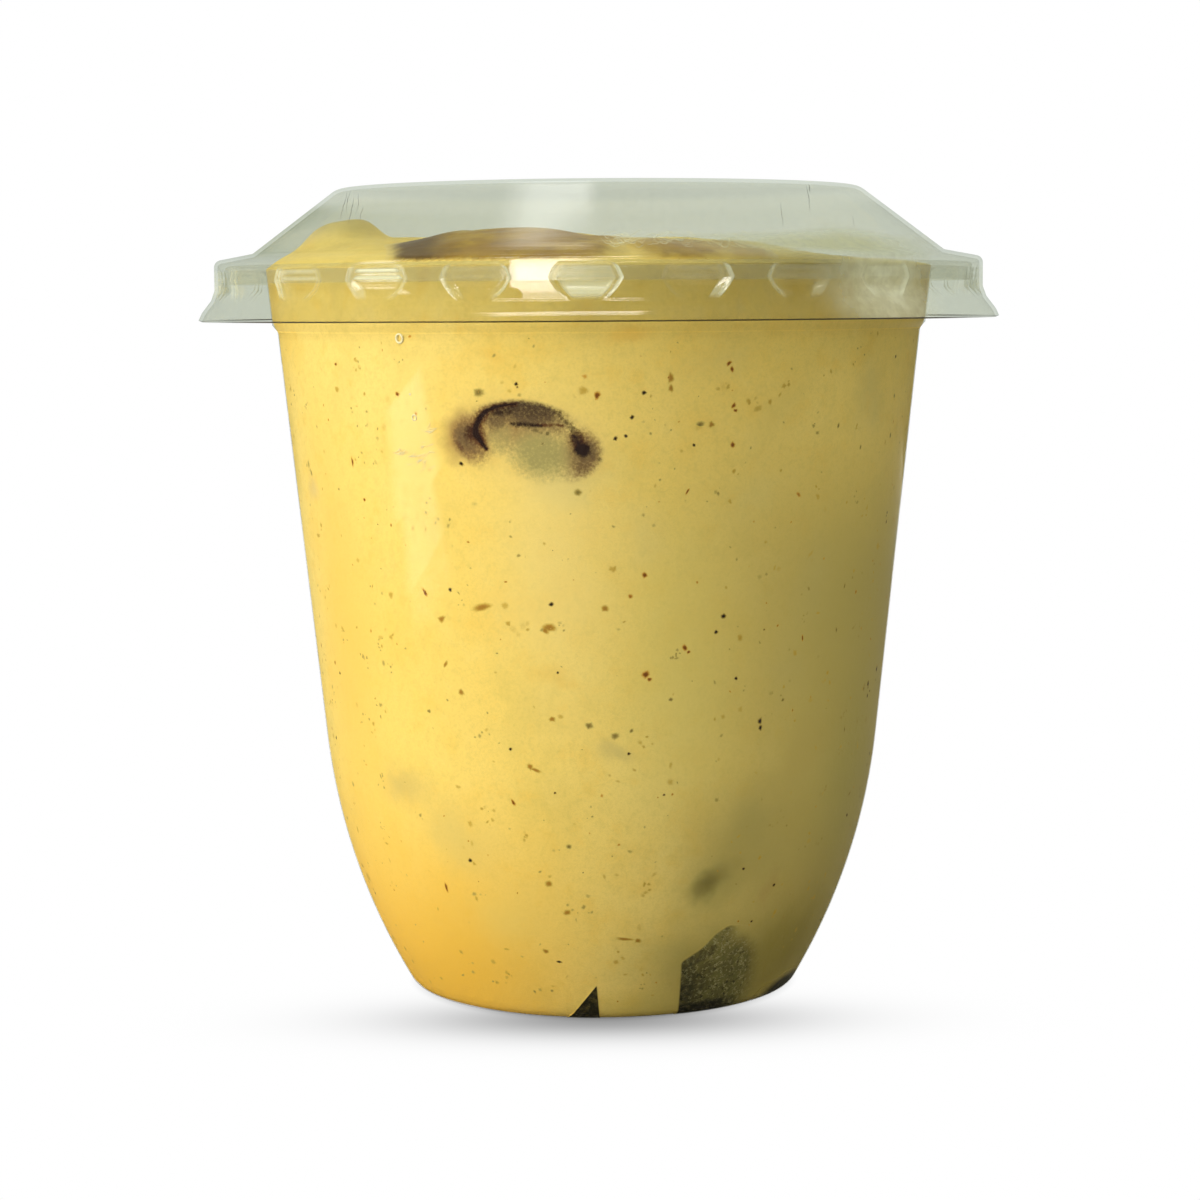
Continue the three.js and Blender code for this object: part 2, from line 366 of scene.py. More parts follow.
# Soft marks in the filling, some of them broad patches of painted shade and painted light: bearing, z, half
# width, half height and lean, then colour and strength
MARKS_AND_PAINTED_LIGHT = [
    (-12.6, 73.6, 12.5, 7.5, -8, (0.58, 0.43, 0.15), 0.60),
    (-4.5, 68.8, 6.5, 5.5, 0, (0.60, 0.54, 0.22), 0.55),
    (3.9, 85.9, 4.2, 1.9, 0, (0.90, 0.55, 0.09), 0.55),
    (-18.0, 84.3, 3.2, 1.1, 0, (0.86, 0.55, 0.10), 0.50),
    (-44.6, 30.1, 6.5, 5.0, 20, (0.52, 0.42, 0.15), 0.50),
    (-24.2, 73.9, 3.6, 3.6, 10, (0.27, 0.135, 0.045), 0.75),
    (24.0, 18.5, 8.5, 5.5, 32, (0.50, 0.42, 0.11), 0.75),
    (23.4, 19.0, 5.8, 2.3, 34, (0.15, 0.125, 0.022), 1.0),
    (29.0, 25.0, 7.0, 3.6, 20, (0.46, 0.39, 0.11), 0.50),
    # The next two, broad and dark, low at the right, are painted shade
    (36.0, 4.0, 15.0, 10.0, 0, (0.36, 0.29, 0.07), 0.75),
    (52.0, 16.0, 14.0, 9.0, 25, (0.50, 0.37, 0.09), 0.40),
    (40.0, 17.5, 1.6, 4.0, 10, (0.55, 0.28, 0.08), 0.30),
    (44.0, 34.0, 13.0, 5.0, 35, (0.58, 0.44, 0.11), 0.50),
    (33.0, 77.0, 12.0, 5.0, 55, (0.76, 0.59, 0.15), 0.40),
    # The next two are a dull band of painted shade right of the front and a pale band of painted light left
    # of it
    (14.0, 46.0, 13.0, 30.0, 0, (0.80, 0.655, 0.170), 0.60),
    (-8.0, 60.0, 12.0, 28.0, 0, (0.95, 0.76, 0.27), 0.55),
    (-58.0, 48.0, 12.0, 42.0, 0, (0.88, 0.60, 0.125), 0.85),
    (-32.0, 25.0, 10.0, 6.0, -42, (0.70, 0.56, 0.17), 0.50),
    (-20.0, 14.0, 8.0, 7.0, 0, (0.84, 0.64, 0.16), 0.45),
    (44.0, 56.0, 8.0, 6.0, 60, (0.60, 0.50, 0.16), 0.35),
    (38.0, 45.0, 5.0, 7.0, 20, (0.62, 0.50, 0.15), 0.35),
    (55.0, 78.0, 6.0, 9.0, 30, (0.66, 0.55, 0.20), 0.35),
    (20.0, 83.0, 7.0, 3.5, 20, (0.76, 0.60, 0.18), 0.40),
    (8.0, 62.0, 5.0, 7.0, 30, (0.80, 0.66, 0.24), 0.35),
    (27.0, 66.0, 6.0, 4.0, 10, (0.74, 0.62, 0.20), 0.30),
    # The next six, broad and dark, low at the right, are painted shade
    (33.0, 23.0, 15.0, 13.0, 0, (0.50, 0.40, 0.105), 0.65),
    (22.0, 9.0, 10.0, 7.0, 0, (0.58, 0.475, 0.125), 0.65),
    (12.0, 1.0, 14.0, 4.5, 0, (0.64, 0.51, 0.120), 0.60),
    (30.0, 8.0, 20.0, 9.0, 0, (0.40, 0.325, 0.080), 0.50),
    (62.0, 28.0, 12.0, 20.0, 0, (0.48, 0.40, 0.105), 0.60),
    (55.0, 8.0, 15.0, 11.0, 0, (0.36, 0.28, 0.045), 0.75),
    (82.0, 58.0, 4.0, 9.0, 0, (0.30, 0.30, 0.16), 0.60),
    (-66.0, 66.0, 2.5, 3.0, 20, (0.62, 0.50, 0.28), 0.40),
    (-9.5, 44.5, 5.5, 1.6, 0, (0.84, 0.56, 0.11), 0.40),
    (1.5, 36.0, 3.6, 1.8, -12, (0.60, 0.48, 0.16), 0.55),
]


def add_soft_oval(nodes, place, colour, mark):
    """Lays a soft oval mark, which lies on the filling's skin, over a colour. Some of the ovals are patches
    of painted shade and painted light.
    """
    bearing, z, half_width, half_height, lean, tint, strength = mark
    centre = on_wall(bearing, skin_at(z), FILL_INSET) * MM
    turn = Matrix.Rotation(math.radians(bearing), 3, "Z") @ Matrix.Rotation(-math.radians(lean), 3, "Y")
    scale = (half_width * MM, max(half_width, half_height) * MM, half_height * MM)
    inputs = {"Vector": place, "Location": centre.tolist(), "Rotation": turn.to_euler(), "Scale": scale}
    local = nodes.add("ShaderNodeMapping", inputs, vector_type="TEXTURE").outputs[0]
    share = nodes.ramp(nodes.vector("LENGTH", local), 1.0, 0.0, 0.0, strength)
    return nodes.mix(share, colour, tint)


def cream_colour(nodes, place):
    """The filling's colour: swirls, painted shade that makes it orange low at the left and dull at the right
    and on top, and soft marks, some of them patches of painted shade and painted light.
    """
    drift = nodes.noise(place, 22.0, 3.0, 0.55)
    swirl = nodes.noise(place, 75.0, 3.0, 0.6)
    mottle = nodes.noise(place, 260.0, 3.0, 0.65)
    fine = nodes.noise(place, 900.0, 3.0, 0.7)
    grain = nodes.noise(place, 3200.0, 2.0, 0.6)
    across, _, height = nodes.split(place)
    colour = nodes.mix(nodes.ramp(drift, 0.35, 0.65), CREAM, CREAM_PALE)
    for noise, low, high, most, tint in (
        (swirl, 0.52, 0.72, 0.55, CREAM_DEEP),
        (swirl, 0.46, 0.30, 0.24, CREAM_DULL),
        (mottle, 0.50, 0.72, 0.55, CREAM_DEEP),
        (mottle, 0.46, 0.30, 0.30, CREAM_PALE),
        (fine, 0.45, 0.75, 0.26, CREAM_DULL),
        (grain, 0.42, 0.70, 0.20, CREAM_DULL),
    ):
        colour = nodes.mix(nodes.ramp(noise, low, high, 0.0, most), colour, tint)
    # Painted shade: orange and darker low at the left
    low = nodes.times(nodes.ramp(height, 0.036, 0.004), nodes.ramp(across, 0.004, -0.018))
    colour = nodes.mix(low, colour, CREAM_LOW_SHADE)
    # Painted shade: dull and darker at the right, low down
    low_right_shade = nodes.times(nodes.ramp(across, 0.002, 0.034), nodes.ramp(height, 0.082, 0.052))
    colour = nodes.mix(low_right_shade, colour, CREAM_SHADE)
    # Painted shade: darker on the top of the mound
    colour = nodes.mix(nodes.ramp(height, 0.0972, 0.0996, 0.0, 0.75), colour, CREAM_TOP_SHADE)
    # Painted shade: duller still at the top right
    far_top = nodes.times(nodes.ramp(across, 0.004, 0.026), nodes.ramp(height, 0.0930, 0.0950, 0.0, 0.9))
    colour = nodes.mix(far_top, colour, CREAM_SHADE)
    wobble = nodes.add("ShaderNodeTexNoise", {"Vector": place, "Scale": 160.0, "Detail": 3.0})
    reach, middle = (OVAL_SHIFT,) * 3, (-OVAL_SHIFT / 2,) * 3
    shift = nodes.vector("MULTIPLY_ADD", wobble.outputs["Color"], reach, middle)
    marked = nodes.vector("ADD", place, shift)
    for mark in MARKS_AND_PAINTED_LIGHT:
        colour = add_soft_oval(nodes, marked, colour, mark)
    return colour


UNDER_FILM_SHINE = 0.04     # what is pressed against the plastic hardly shines by itself
OPEN_SHINE = 0.5
RELIEF_REACH = 0.0002       # the depth of a material's relief at full strength, in metres


def soft_surface(nodes, colour, roughness, bump=None, strength=0.3, shine=UNDER_FILM_SHINE, alpha=1.0):
    """A Principled surface, with its relief from a height socket."""
    inputs = {"Base Color": colour, "Roughness": roughness, "Specular IOR Level": shine, "Alpha": alpha}
    shader = nodes.add("ShaderNodeBsdfPrincipled", inputs)
    if bump is not None:
        relief = nodes.add("ShaderNodeBump", {"Height": bump, "Strength": strength, "Distance": RELIEF_REACH})
        nodes.feed(shader.inputs["Normal"], relief.outputs[0])
    nodes.surface(shader.outputs[0])


def cream_material():
    material, nodes, place = new_material("frozen_dessert")
    soft_surface(nodes, cream_colour(nodes, place), 0.5, nodes.noise(place, 900.0, 4.0, 0.6))
    return material


# ---- thin clear plastic
LEAST_GLOSS = 0.035         # what a skin of plastic mirrors where it faces the viewer


class Film:
    """Thin clear plastic. Its numbers are for one of the two skins that a sheet of it has.

    glow is the share of its milkiness that lights up from behind.
    """

    def __init__(self, name, through, through_edge, milk, glow, gloss, roughness):
        self.material, self.nodes, self.place = new_material(name)
        nodes = self.nodes
        self.facing = nodes.facing()
        tint = nodes.mix(nodes.math("POWER", self.facing, 6.0), through, through_edge)
        self.clear = nodes.add("ShaderNodeBsdfTransparent", {"Color": tint})
        kinds = ("ShaderNodeBsdfDiffuse", "ShaderNodeBsdfTranslucent")
        self.milky = [nodes.add(kind, {"Color": (*milk, 1)}) for kind in kinds]
        self.body = self.blend(0.0, self.clear, self.blend(glow, *self.milky))
        shine = nodes.math("MULTIPLY_ADD", nodes.math("POWER", self.facing, 5.0), gloss, LEAST_GLOSS)
        mirror = nodes.add("ShaderNodeBsdfGlossy", {"Color": (1, 1, 1, 1), "Roughness": roughness})
        nodes.surface(self.blend(shine, self.body, mirror).outputs[0])

    def blend(self, share, first, second):
        return self.nodes.add("ShaderNodeMixShader", {0: share, 1: first.outputs[0], 2: second.outputs[0]})

    def deepen(self, share, through):
        """Takes what is let through over to another colour where share is 1."""
        tint = self.clear.inputs["Color"].links[0].from_socket
        self.nodes.feed(self.clear.inputs["Color"], self.nodes.mix(share, tint, through))

    def cloud(self, haze, colour=None):
        """Sets the milky share of the plastic, and the colour of the milkiness, from sockets."""
        self.nodes.feed(self.body.inputs[0], haze)
        if colour is not None:
            for shader in self.milky:
                self.nodes.feed(shader.inputs["Color"], colour)


# The lid's mist on its skirt, and on its slope where it is thin and where it is thick
MIST_LOW = (0.94, 0.98, 0.76)
MIST_THIN = (0.92, 0.93, 0.82)
MIST_THICK = (0.60, 0.62, 0.41)
# What the lid lets through at the left of its slope, less there as painted shade, and on its flat top
THROUGH_LEFT_SHADE = (0.83, 0.84, 0.775)
THROUGH_TOP = (0.952, 0.955, 0.930)


def make_cup_film():
    """The cup's plastic, thicker and yellower at its rolled rim."""
    colours = ((0.962, 0.963, 0.95), (0.86, 0.87, 0.84), (0.85, 0.86, 0.80))
    film = Film("cup_plastic", *colours, glow=0.0, gloss=0.22, roughness=0.03)
    nodes = film.nodes
    rolled = nodes.ramp(nodes.split(film.place)["Z"], 0.0920, 0.0924)
    film.deepen(rolled, (0.958, 0.964, 0.940))
    film.cloud(nodes.math("MULTIPLY_ADD", rolled, 0.058, 0.002))
    return film.material


def make_lid_film():
    """The lid's plastic: fine drawn streaks, painted highlights on the lugs' bent edges, mist over the food
    and painted shade on its left side.
    """
    colours = ((0.936, 0.940, 0.912), (0.895, 0.902, 0.880), MIST_THIN)
    film = Film("lid_plastic", *colours, glow=0.35, gloss=0.05, roughness=0.035)
    nodes, place = film.nodes, film.place
    across, _, height = nodes.split(place)
    streaks = nodes.add("ShaderNodeMapping", {"Vector": place, "Scale": (900.0, 900.0, 60.0)}).outputs[0]
    drawn = nodes.ramp(nodes.noise(streaks, 1.0, 3.0, 0.6), 0.45, 0.75, 0.0, 0.024)
    cloudy = nodes.ramp(nodes.noise(place, 90.0, 3.0, 0.6), 0.35, 0.7, 0.003, 0.014)
    grain = nodes.ramp(nodes.noise(place, 520.0, 3.0, 0.6), 0.30, 0.70, 0.82, 1.15)
    haze = nodes.math("ADD", nodes.math("ADD", drawn, cloudy), nodes.times(nodes.value("mist"), grain))
    above_step = nodes.ramp(height, 0.0943, 0.0952)
    milk = nodes.mix(above_step, MIST_LOW, MIST_THIN)
    milk = nodes.mix(nodes.times(above_step, nodes.ramp(nodes.value("mist"), 0.02, 0.25)), milk, MIST_THICK)
    # The crease number paints highlights on the lugs' bends, flanks and floors, as milkiness in the plastic
    film.cloud(nodes.math("MULTIPLY_ADD", nodes.value("crease"), 0.48, haze, clamp=True), milk)
    slope = nodes.times(nodes.ramp(height, 0.0955, 0.0965), nodes.ramp(height, 0.1030, 0.1015))
    to_left = nodes.ramp(across, 0.010, -0.020)
    # Painted shade: the slope lets less through at its left, most where it is seen edge on
    film.deepen(nodes.times(slope, to_left, nodes.math("POWER", film.facing, 3.0)), THROUGH_LEFT_SHADE)
    film.deepen(nodes.ramp(height, 0.1015, 0.1032), THROUGH_TOP)
    return film.material


def plain_colour(nodes, place, darker, colour):
    """A colour that varies a little over the piece."""
    return nodes.mix(nodes.ramp(nodes.noise(place, 800.0), 0.35, 0.65), darker, colour)


def plain_material(name, darker, colour, roughness, alpha):
    material, nodes, place = new_material(name)
    soft_surface(nodes, plain_colour(nodes, place, darker, colour), roughness, shine=OPEN_SHINE, alpha=alpha)
    return material


def cut_edge_shade_material():
    """The lid's cut edge, painted almost black as a line of painted shade: dark where it faces the viewer,
    faint where it is seen from its side.
    """
    material, nodes, place = new_material("lid_cut_edge_shade")
    colour = plain_colour(nodes, place, (0.026, 0.019, 0.007), (0.035, 0.026, 0.010))
    alpha = nodes.ramp(nodes.facing(), 0.76, 0.92, 0.96, 0.30)
    soft_surface(nodes, colour, 0.4, shine=OPEN_SHINE, alpha=alpha)
    return material


# ---- cup
CUP_COLUMNS = 240


def build_cup():
    flange_z = RIM_TOP_Z - CUP_WALL
    neck = wall_radius(flange_z) + STEP_OUT
    outside = cup_skin(flange_z - RIM_BEND, 0.0)
    inside = cup_skin(flange_z, CUP_WALL)[::-1]
    rim = outline([
        corner(neck + 0.1, flange_z - RIM_BEND),
        corner(neck + RIM_BEND, flange_z),
        corner(RIM_RADIUS - CUP_WALL, flange_z, 0.3, 3),
        corner(RIM_RADIUS - CUP_WALL, RIM_LIP_Z),
        corner(RIM_RADIUS, RIM_LIP_Z),
        corner(RIM_RADIUS, RIM_TOP_Z, 0.5, 5),
        corner(neck, RIM_TOP_Z),
    ], 0.0)
    bearings = np.arange(CUP_COLUMNS) * 360.0 / CUP_COLUMNS
    line = np.concatenate([outside, rim[1:], inside])
    places, faces = skin_of([turned(radius, z, bearings) for radius, z in line])
    cup = make_mesh("cup", places, faces, make_cup_film(), sharp_deg=32)
    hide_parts("cup")


# ---- lid
LUG_EDGE_TURN = 0.11        # the bent edges of a lug are rounded over this many degrees
LUG_EDGE_RISE = 0.10        # and over this height
FIRST_LUG_ROW = 6           # the lid's tip, its rounded crease and one more point come before the lugs
LAND_STEPS = 3
FLOOR_STEPS = 5
DOME_ROWS = 14


# How strong the painted highlight is on the left bend, left flank, right bend, right flank, top line and low
# floor of a lug, for the lugs that show, counted to the right from the one next to the front
LUG_PAINTED_GLINTS = {
    -4: (0.5, 0.0, 0.2, 0.0, 0.1, 0.0),
    -3: (0.7, 0.1, 0.4, 0.0, 0.5, 0.0),
    -2: (0.5, 0.6, 0.4, 0.0, 1.2, 0.0),
    -1: (0.5, 0.25, 0.6, 0.0, 0.1, 0.0),
    0: (0.2, 0.0, 0.9, 0.1, 0.5, 0.9),
    1: (0.1, 0.0, 0.8, 0.7, 0.1, 0.0),
    2: (0.5, 0.0, 0.1, 0.4, 0.1, 0.0),
    3: (0.15, 0.0, 0.6, 0.0, 0.1, 0.0),
}
# Weaker painted highlights on the lugs that do not show
LUG_FAINT_PAINTED_GLINTS = (0.3, 0.1, 0.3, 0.2, 0.15, 0.0)


def lug_rows():
    """The rows across the lugs, with a row close to each bend, and how much each lies along the top."""
    rows = []
    for index, (low, high) in enumerate(zip(LUG_ROWS, LUG_ROWS[1:])):
        rise = high[0] - low[0]
        shares = [LUG_EDGE_RISE / rise, 0.5, 1 - LUG_EDGE_RISE / rise]
        if index == 0:
            shares = [0.0, *shares]
        if index == len(LUG_ROWS) - 2:
            shares = [*shares, 1.0]
        for share in shares:
            on_top = 1.0 if index == 2 and share != 0.5 else 0.0
            rows.append((*(a + (b - a) * share for a, b in zip(low, high)), on_top))
    return rows


def lid_skin(inset):
    rows = lug_rows()
    foot_row = rows[0]
    foot_slope = (foot_row[0] - FLARE_CREASE_Z) / (FLARE_CREASE_RADIUS - foot_row[1])
    foot, top = (DOME_FOOT_RADIUS, DOME_FOOT_Z), (LID_TOP_EDGE_RADIUS, LID_TOP_Z)
    slope = np.linspace(foot, top, DOME_ROWS + 1)[1:-1]
    corners = [
        corner(FLARE_TIP_RADIUS, FLARE_TIP_Z),
        corner(FLARE_CREASE_RADIUS, FLARE_CREASE_Z, FLARE_CREASE_ROUNDING, 3),
        corner(foot_row[1] + LUG_EDGE_RISE, foot_row[0] - LUG_EDGE_RISE * foot_slope),
        *[corner(row[1], row[0]) for row in rows],
        corner(SKIRT_RADIUS, SHOULDER_Z, SHOULDER_ROUNDING, 6),
        corner(*foot, 0.5, 3),
        *[corner(*point) for point in slope],
        corner(*top, LID_TOP_EDGE_ROUNDING, 8),
        corner(0, LID_TOP_Z),
    ]
    return outline(corners, inset)


def across_lug(half):
    """Bearings across one lug and the land round it, the share of the lug's depth, bends and flanks."""
    pitch = 360.0 / LUG_COUNT
    floor = half - LUG_FLANK
    turn = LUG_EDGE_TURN
    left = [*np.linspace(-pitch / 2, -half - 2 * turn, LAND_STEPS), -half - turn, -half + turn]
    left += [(-half - floor) / 2, -floor - turn, -floor + turn]
    middle = np.linspace(-floor + 2 * turn, floor - 2 * turn, FLOOR_STEPS)
    right = [-bearing for bearing in reversed(left)][:-1]
    bearings = np.array([*left, *middle, *right])
    size = np.abs(bearings)
    share = np.clip((half - size) / LUG_FLANK, 0, 1)
    bends = (np.abs(size - half) < 1.5 * turn) + 0.15 * (np.abs(size - floor) < 1.5 * turn)
    flanks = (size < half + turn / 2) & (size > floor - 1.5 * turn)
    return bearings, share, bends, flanks * 1.0


def lug_painted_glint(bearings, share, bends, flanks, z, on_top):
    """How strong the painted highlight is on each column of all the lugs in one row."""
    lugs = [lug if lug < LUG_COUNT / 2 else lug - LUG_COUNT for lug in range(LUG_COUNT)]
    glint_strengths = np.array([LUG_PAINTED_GLINTS.get(lug, LUG_FAINT_PAINTED_GLINTS) for lug in lugs])
    left, left_flank, right, right_flank, top, floor = glint_strengths.T[:, :, None]
    low = 1 - smooth(LUG_ROWS[1][0] + 0.2, LUG_ROWS[2][0], z)
    crease = bends * np.where(bearings < 0, left, right)
    crease = np.maximum(crease, flanks * np.where(bearings < 0, left_flank, right_flank) * low * 0.6)
    return np.maximum(crease, (share > 0.9) * np.maximum(top * on_top, floor * (0.35 + 0.65 * low))).ravel()


# Misty patches on the lid: bearing, z, half turn, half height and strength
LID_MIST = [
    (14.0, 97.2, 22.0, 1.4, 0.22), (30.0, 96.4, 18.0, 2.2, 0.55), (46.0, 96.6, 26.0, 2.2, 0.62),
    (-62.0, 98.0, 16.0, 2.0, 0.12), (43.0, 91.5, 15.0, 11.0, 0.64),
    (100.0, 97.4, 40.0, 1.8, 0.16), (165.0, 97.4, 50.0, 2.0, 0.20), (230.0, 98.0, 40.0, 2.0, 0.14),
]
MIST_TOP_Z = LID_TOP_Z - 0.2


def lid_mist(bearing, z):
    """How misty the lid is inside, at bearings and one height."""
    mist = np.zeros(len(bearing))
    for at, height, half_turn, half_height, strength in LID_MIST:
        turn = (bearing - at + 180) % 360 - 180
        mist += strength * (1 - smooth(0.0, 1.0, np.hypot(turn / half_turn, (z - height) / half_height)))
    return mist


def build_lid():
    rows = lug_rows()
    turns = np.arange(LUG_COUNT)[:, None] * 360.0 / LUG_COUNT + LUG_PHASE
    rings, creases, mists = [], [], []
    inner, outer = lid_skin(LID_WALL), lid_skin(0.0)
    for skin, order in ((inner, -1), (outer, 1)):
        for from_tip in range(len(skin))[::order]:
            radius, z = skin[from_tip]
            lug = from_tip - FIRST_LUG_ROW
            at_lug = 0 <= lug < len(rows)
            half, depth, on_top = rows[lug][2:] if at_lug else (LUG_ROWS[1][2], 0.0, 0.0)
            bearings, share, bends, flanks = across_lug(half)
            around = (turns + bearings).ravel()
            ring = turned(radius, z, around, np.tile(share, LUG_COUNT) * depth)
            crease = lug_painted_glint(bearings, share, bends, flanks, z, on_top) * min(1.0, depth * 3)
            misty = order == 1 and z <= MIST_TOP_Z
            rings.append(ring)
            creases.append(crease if len(ring) > 1 else [0.0])
            mists.append(lid_mist(around, z) * misty if len(ring) > 1 else [0.0])
    places, faces = skin_of(rings)
    lid = make_mesh("lid", places, faces, make_lid_film(), sharp_deg=40)
    # The crease numbers hold the painted highlights of the lugs
    add_values(lid, "crease", np.concatenate(creases))
    add_values(lid, "mist", np.concatenate(mists))
    # A second material for the lid's cut edge, its line of painted shade
    lid.data.materials.append(cut_edge_shade_material())
    edge_ring = len(inner) - 1
    columns = len(rings[edge_ring])
    for face in lid.data.polygons[edge_ring * columns:(edge_ring + 1) * columns]:
        face.material_index = 1
    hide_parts("lid")


# ---- filling
FILL_COLUMNS = 288
FILL_RINGS = 90


def mound_height(x, y, edge):
    """The height of the filling's top, where edge is the radius at which it meets the wall."""
    radius = np.hypot(x, y)
    relief = np.zeros_like(x)
    for bump_x, bump_y, height, across, deep, power in MOUND_BUMPS:
        relief += height * np.exp(-np.hypot((x - bump_x) / across, (y - bump_y) / deep) ** power)
    fold = 0.16 * np.sin(x * 0.55 + 1.3 * np.sin(y * 0.31)) * np.sin(y * 0.42 + 0.7)
    drag = np.hypot(x + 13.0, (y - 9.0) * 1.3)
    ripple = 0.035 * np.sin(drag * 0.9 + 1.2 * np.sin(x * 0.23)) * np.sin(x * 0.19 - y * 0.13 + 0.5)
    ripple += 0.018 * np.sin(drag * 2.3 + 1.5 * np.sin(y * 0.21 + x * 0.11)) * np.sin(y * 0.27 + 1.0)
    fade = np.clip(1 - (radius / edge) ** MOUND_FLATNESS, 0, 1)
    return FILL_EDGE_Z + fade * (MOUND_HEIGHT - x * MOUND_FALL + relief + fold + ripple)


def build_filling(material):
    side = cup_skin(FILL_EDGE_Z, FILL_INSET)
    line = along(side)
    dense = np.append(np.arange(0, line[-1], 1.0), line[-1])
    side = np.stack([np.interp(dense, line, side[:, 0]), np.interp(dense, line, side[:, 1])], 1)
    edge = side[-1, 0]
    bearings = np.arange(FILL_COLUMNS) * 360.0 / FILL_COLUMNS
    rings = [turned(radius, z, bearings) for radius, z in side]
    for share in np.linspace(0, 1, FILL_RINGS + 1)[1:]:
        ring = turned(edge * (1 - share ** 1.6), FILL_EDGE_Z, bearings)
        ring[:, 2] = mound_height(ring[:, 0], ring[:, 1], edge)
        rings.append(ring)
    places, faces = skin_of(rings)
    filling = make_mesh("filling", places, faces, material, sharp_deg=60)
    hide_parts("filling")
    return edge


# ---- pieces that lie in the filling and show at the wall
PATCH_PROUD = 0.03          # how far a piece stands out of the filling's skin
PATCH_LOWEST = 0.5          # pieces and specks keep this far along the skin from the middle of the underside
SPECK_LOWEST = 1.0


def wall_patch(name, bearing, z, reach_of, depth, material, columns, rings):
    """A piece whose front lies on the wall round a place, and whose back bulges inward by depth.

    reach_of(angle) gives how far it goes in each direction. Returns the piece, where each vertex
    is across and up the wall in millimetres from that place, and its share of the way to the edge.
    """
    angles = np.linspace(0, 2 * np.pi, columns, endpoint=False)
    reach = np.array([reach_of(angle) for angle in angles])
    back = [(share, depth * math.sqrt(1 - share ** 2)) for share in np.linspace(0, 1, rings // 4)[:-1]]
    front = [(share, 0.0) for share in np.linspace(1, 0, rings)]
    layers, across, up, edge = [], [], [], []
    for share, sunk in back + front:
        size, turn = (reach * share, angles) if share else (np.zeros(1), angles[:1])
        across.append(np.cos(turn) * size)
        up.append(np.sin(turn) * size)
        edge.append(np.full(len(turn), share))
        inset = FILL_INSET - PATCH_PROUD + sunk
        layers.append(beside(bearing, skin_at(z), across[-1], up[-1], PATCH_LOWEST, inset))
    places, faces = skin_of(layers)
    piece = make_mesh(name, places, faces, material, sharp_deg=50)
    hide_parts(name)
    return piece, *(np.concatenate(values) for values in (across, up, edge))


def oval_reach(half_width, half_height, tilt=0.0):
    """How far an oval goes in each direction."""
    def reach_of(angle):
        return 1 / math.hypot(math.cos(angle - tilt) / half_width, math.sin(angle - tilt) / half_height)

    return reach_of


def near_line(u, v, points, width, soft):
    """1 on a line through points and within width of it, falling to 0 over soft more.

    A point may have its own share of the width as a third number.
    """
    best = np.zeros(len(u))
    for start, end in zip(points, points[1:]):
        dx, dy = end[0] - start[0], end[1] - start[1]
        t = np.clip(((u - start[0]) * dx + (v - start[1]) * dy) / (dx * dx + dy * dy), 0, 1)
        away = np.hypot(u - start[0] - t * dx, v - start[1] - t * dy)
        share = start[2] + (end[2] - start[2]) * t if len(start) > 2 else 1.0
        best = np.maximum(best, 1 - smooth(width * share, (width + soft) * share + 0.02, away))
    return best


def blob(u, v, x, y, half_width, half_height, lean=0.0, core=0.25):
    """1 in the middle of a soft oval, 0 outside it."""
    c, s = math.cos(math.radians(lean)), math.sin(math.radians(lean))
    du, dv = u - x, v - y
    away = np.hypot((du * c + dv * s) / half_width, (dv * c - du * s) / half_height)
    return 1 - smooth(core, 1.0, away)


def rough_shares(nodes, place, names, scale, amount):
    """The vertex numbers with these names, made ragged by noise."""
    grain = nodes.times(nodes.math("SUBTRACT", nodes.noise(place, scale, 4.0, 0.7), 0.5), amount)
    shares = []
    for name in names:
        value = nodes.value(name)
        lively = nodes.times(nodes.math("MULTIPLY", value, 4.0, clamp=True), grain)
        shares.append(nodes.math("ADD", value, lively, clamp=True))
    return shares


# The fruit's layers and their colours, from the lowest to the one on top
FRUIT_LAYERS = {
    "haze": (0.29, 0.165, 0.055),
    "flesh": (0.395, 0.340, 0.114),
    "band": (0.135, 0.085, 0.034),
    "red": (0.085, 0.018, 0.003),
    "black": (0.010, 0.0005, 0.0003),
}
# The thick dark edge at the left, with each point's share of its width
FRUIT_ARC = [
    (-4.9, -0.6, 0.3), (-5.3, -0.1, 0.45), (-5.8, 0.6, 0.7), (-6.2, 1.15, 1.1), (-6.1, 2.1, 0.75),
    (-5.6, 3.1, 0.7), (-4.7, 3.95, 0.55), (-3.5, 4.4, 0.42), (-2.2, 4.65, 0.3), (-1.0, 4.75, 0.2),
]
# Lines in the layers: layer, strength, width, softness and points
FRUIT_LINES = [
    ("black", 1.20, 0.12, 0.70, FRUIT_ARC),
    ("black", 0.45, 0.10, 1.30,
     [(-2.4, 4.65, 1.0), (-0.8, 4.8, 0.9), (1.0, 4.75, 0.7), (2.8, 4.2, 0.6), (4.2, 3.6, 0.4)]),
    ("black", 0.90, 0.06, 0.42,
     [(-1.7, 2.45, 0.5), (-1.0, 2.35, 1.0), (-0.2, 2.35, 1.0), (0.8, 2.25, 0.8), (2.0, 2.2, 0.5)]),
    ("black", 0.40, 0.04, 0.40, [(0.5, 2.0, 0.7), (1.2, 1.6, 0.7), (2.0, 1.35, 0.5)]),
    ("black", 0.50, 0.10, 0.80, [(4.3, 3.3, 0.4), (5.2, 2.4, 0.7), (5.9, 1.5, 1.0), (6.4, 0.6, 1.2)]),
    ("black", 0.45, 0.05, 0.35, [(-6.3, 1.2, 1.0), (-7.3, 1.45, 0.6)]),
    ("red", 0.85, 0.40, 1.25, FRUIT_ARC),
    ("red", 0.75, 0.04, 0.30, [(1.6, 2.25, 0.8), (3.2, 2.25, 0.8), (4.6, 2.2, 0.7)]),
    ("red", 0.75, 0.05, 0.40, [(-5.0, 0.1), (-5.5, 1.0), (-5.5, 2.3), (-4.8, 3.2)]),
    ("red", 0.42, 0.08, 0.60, [(-9.4, 1.0), (-9.1, 0.1), (-8.3, -0.6)]),
]
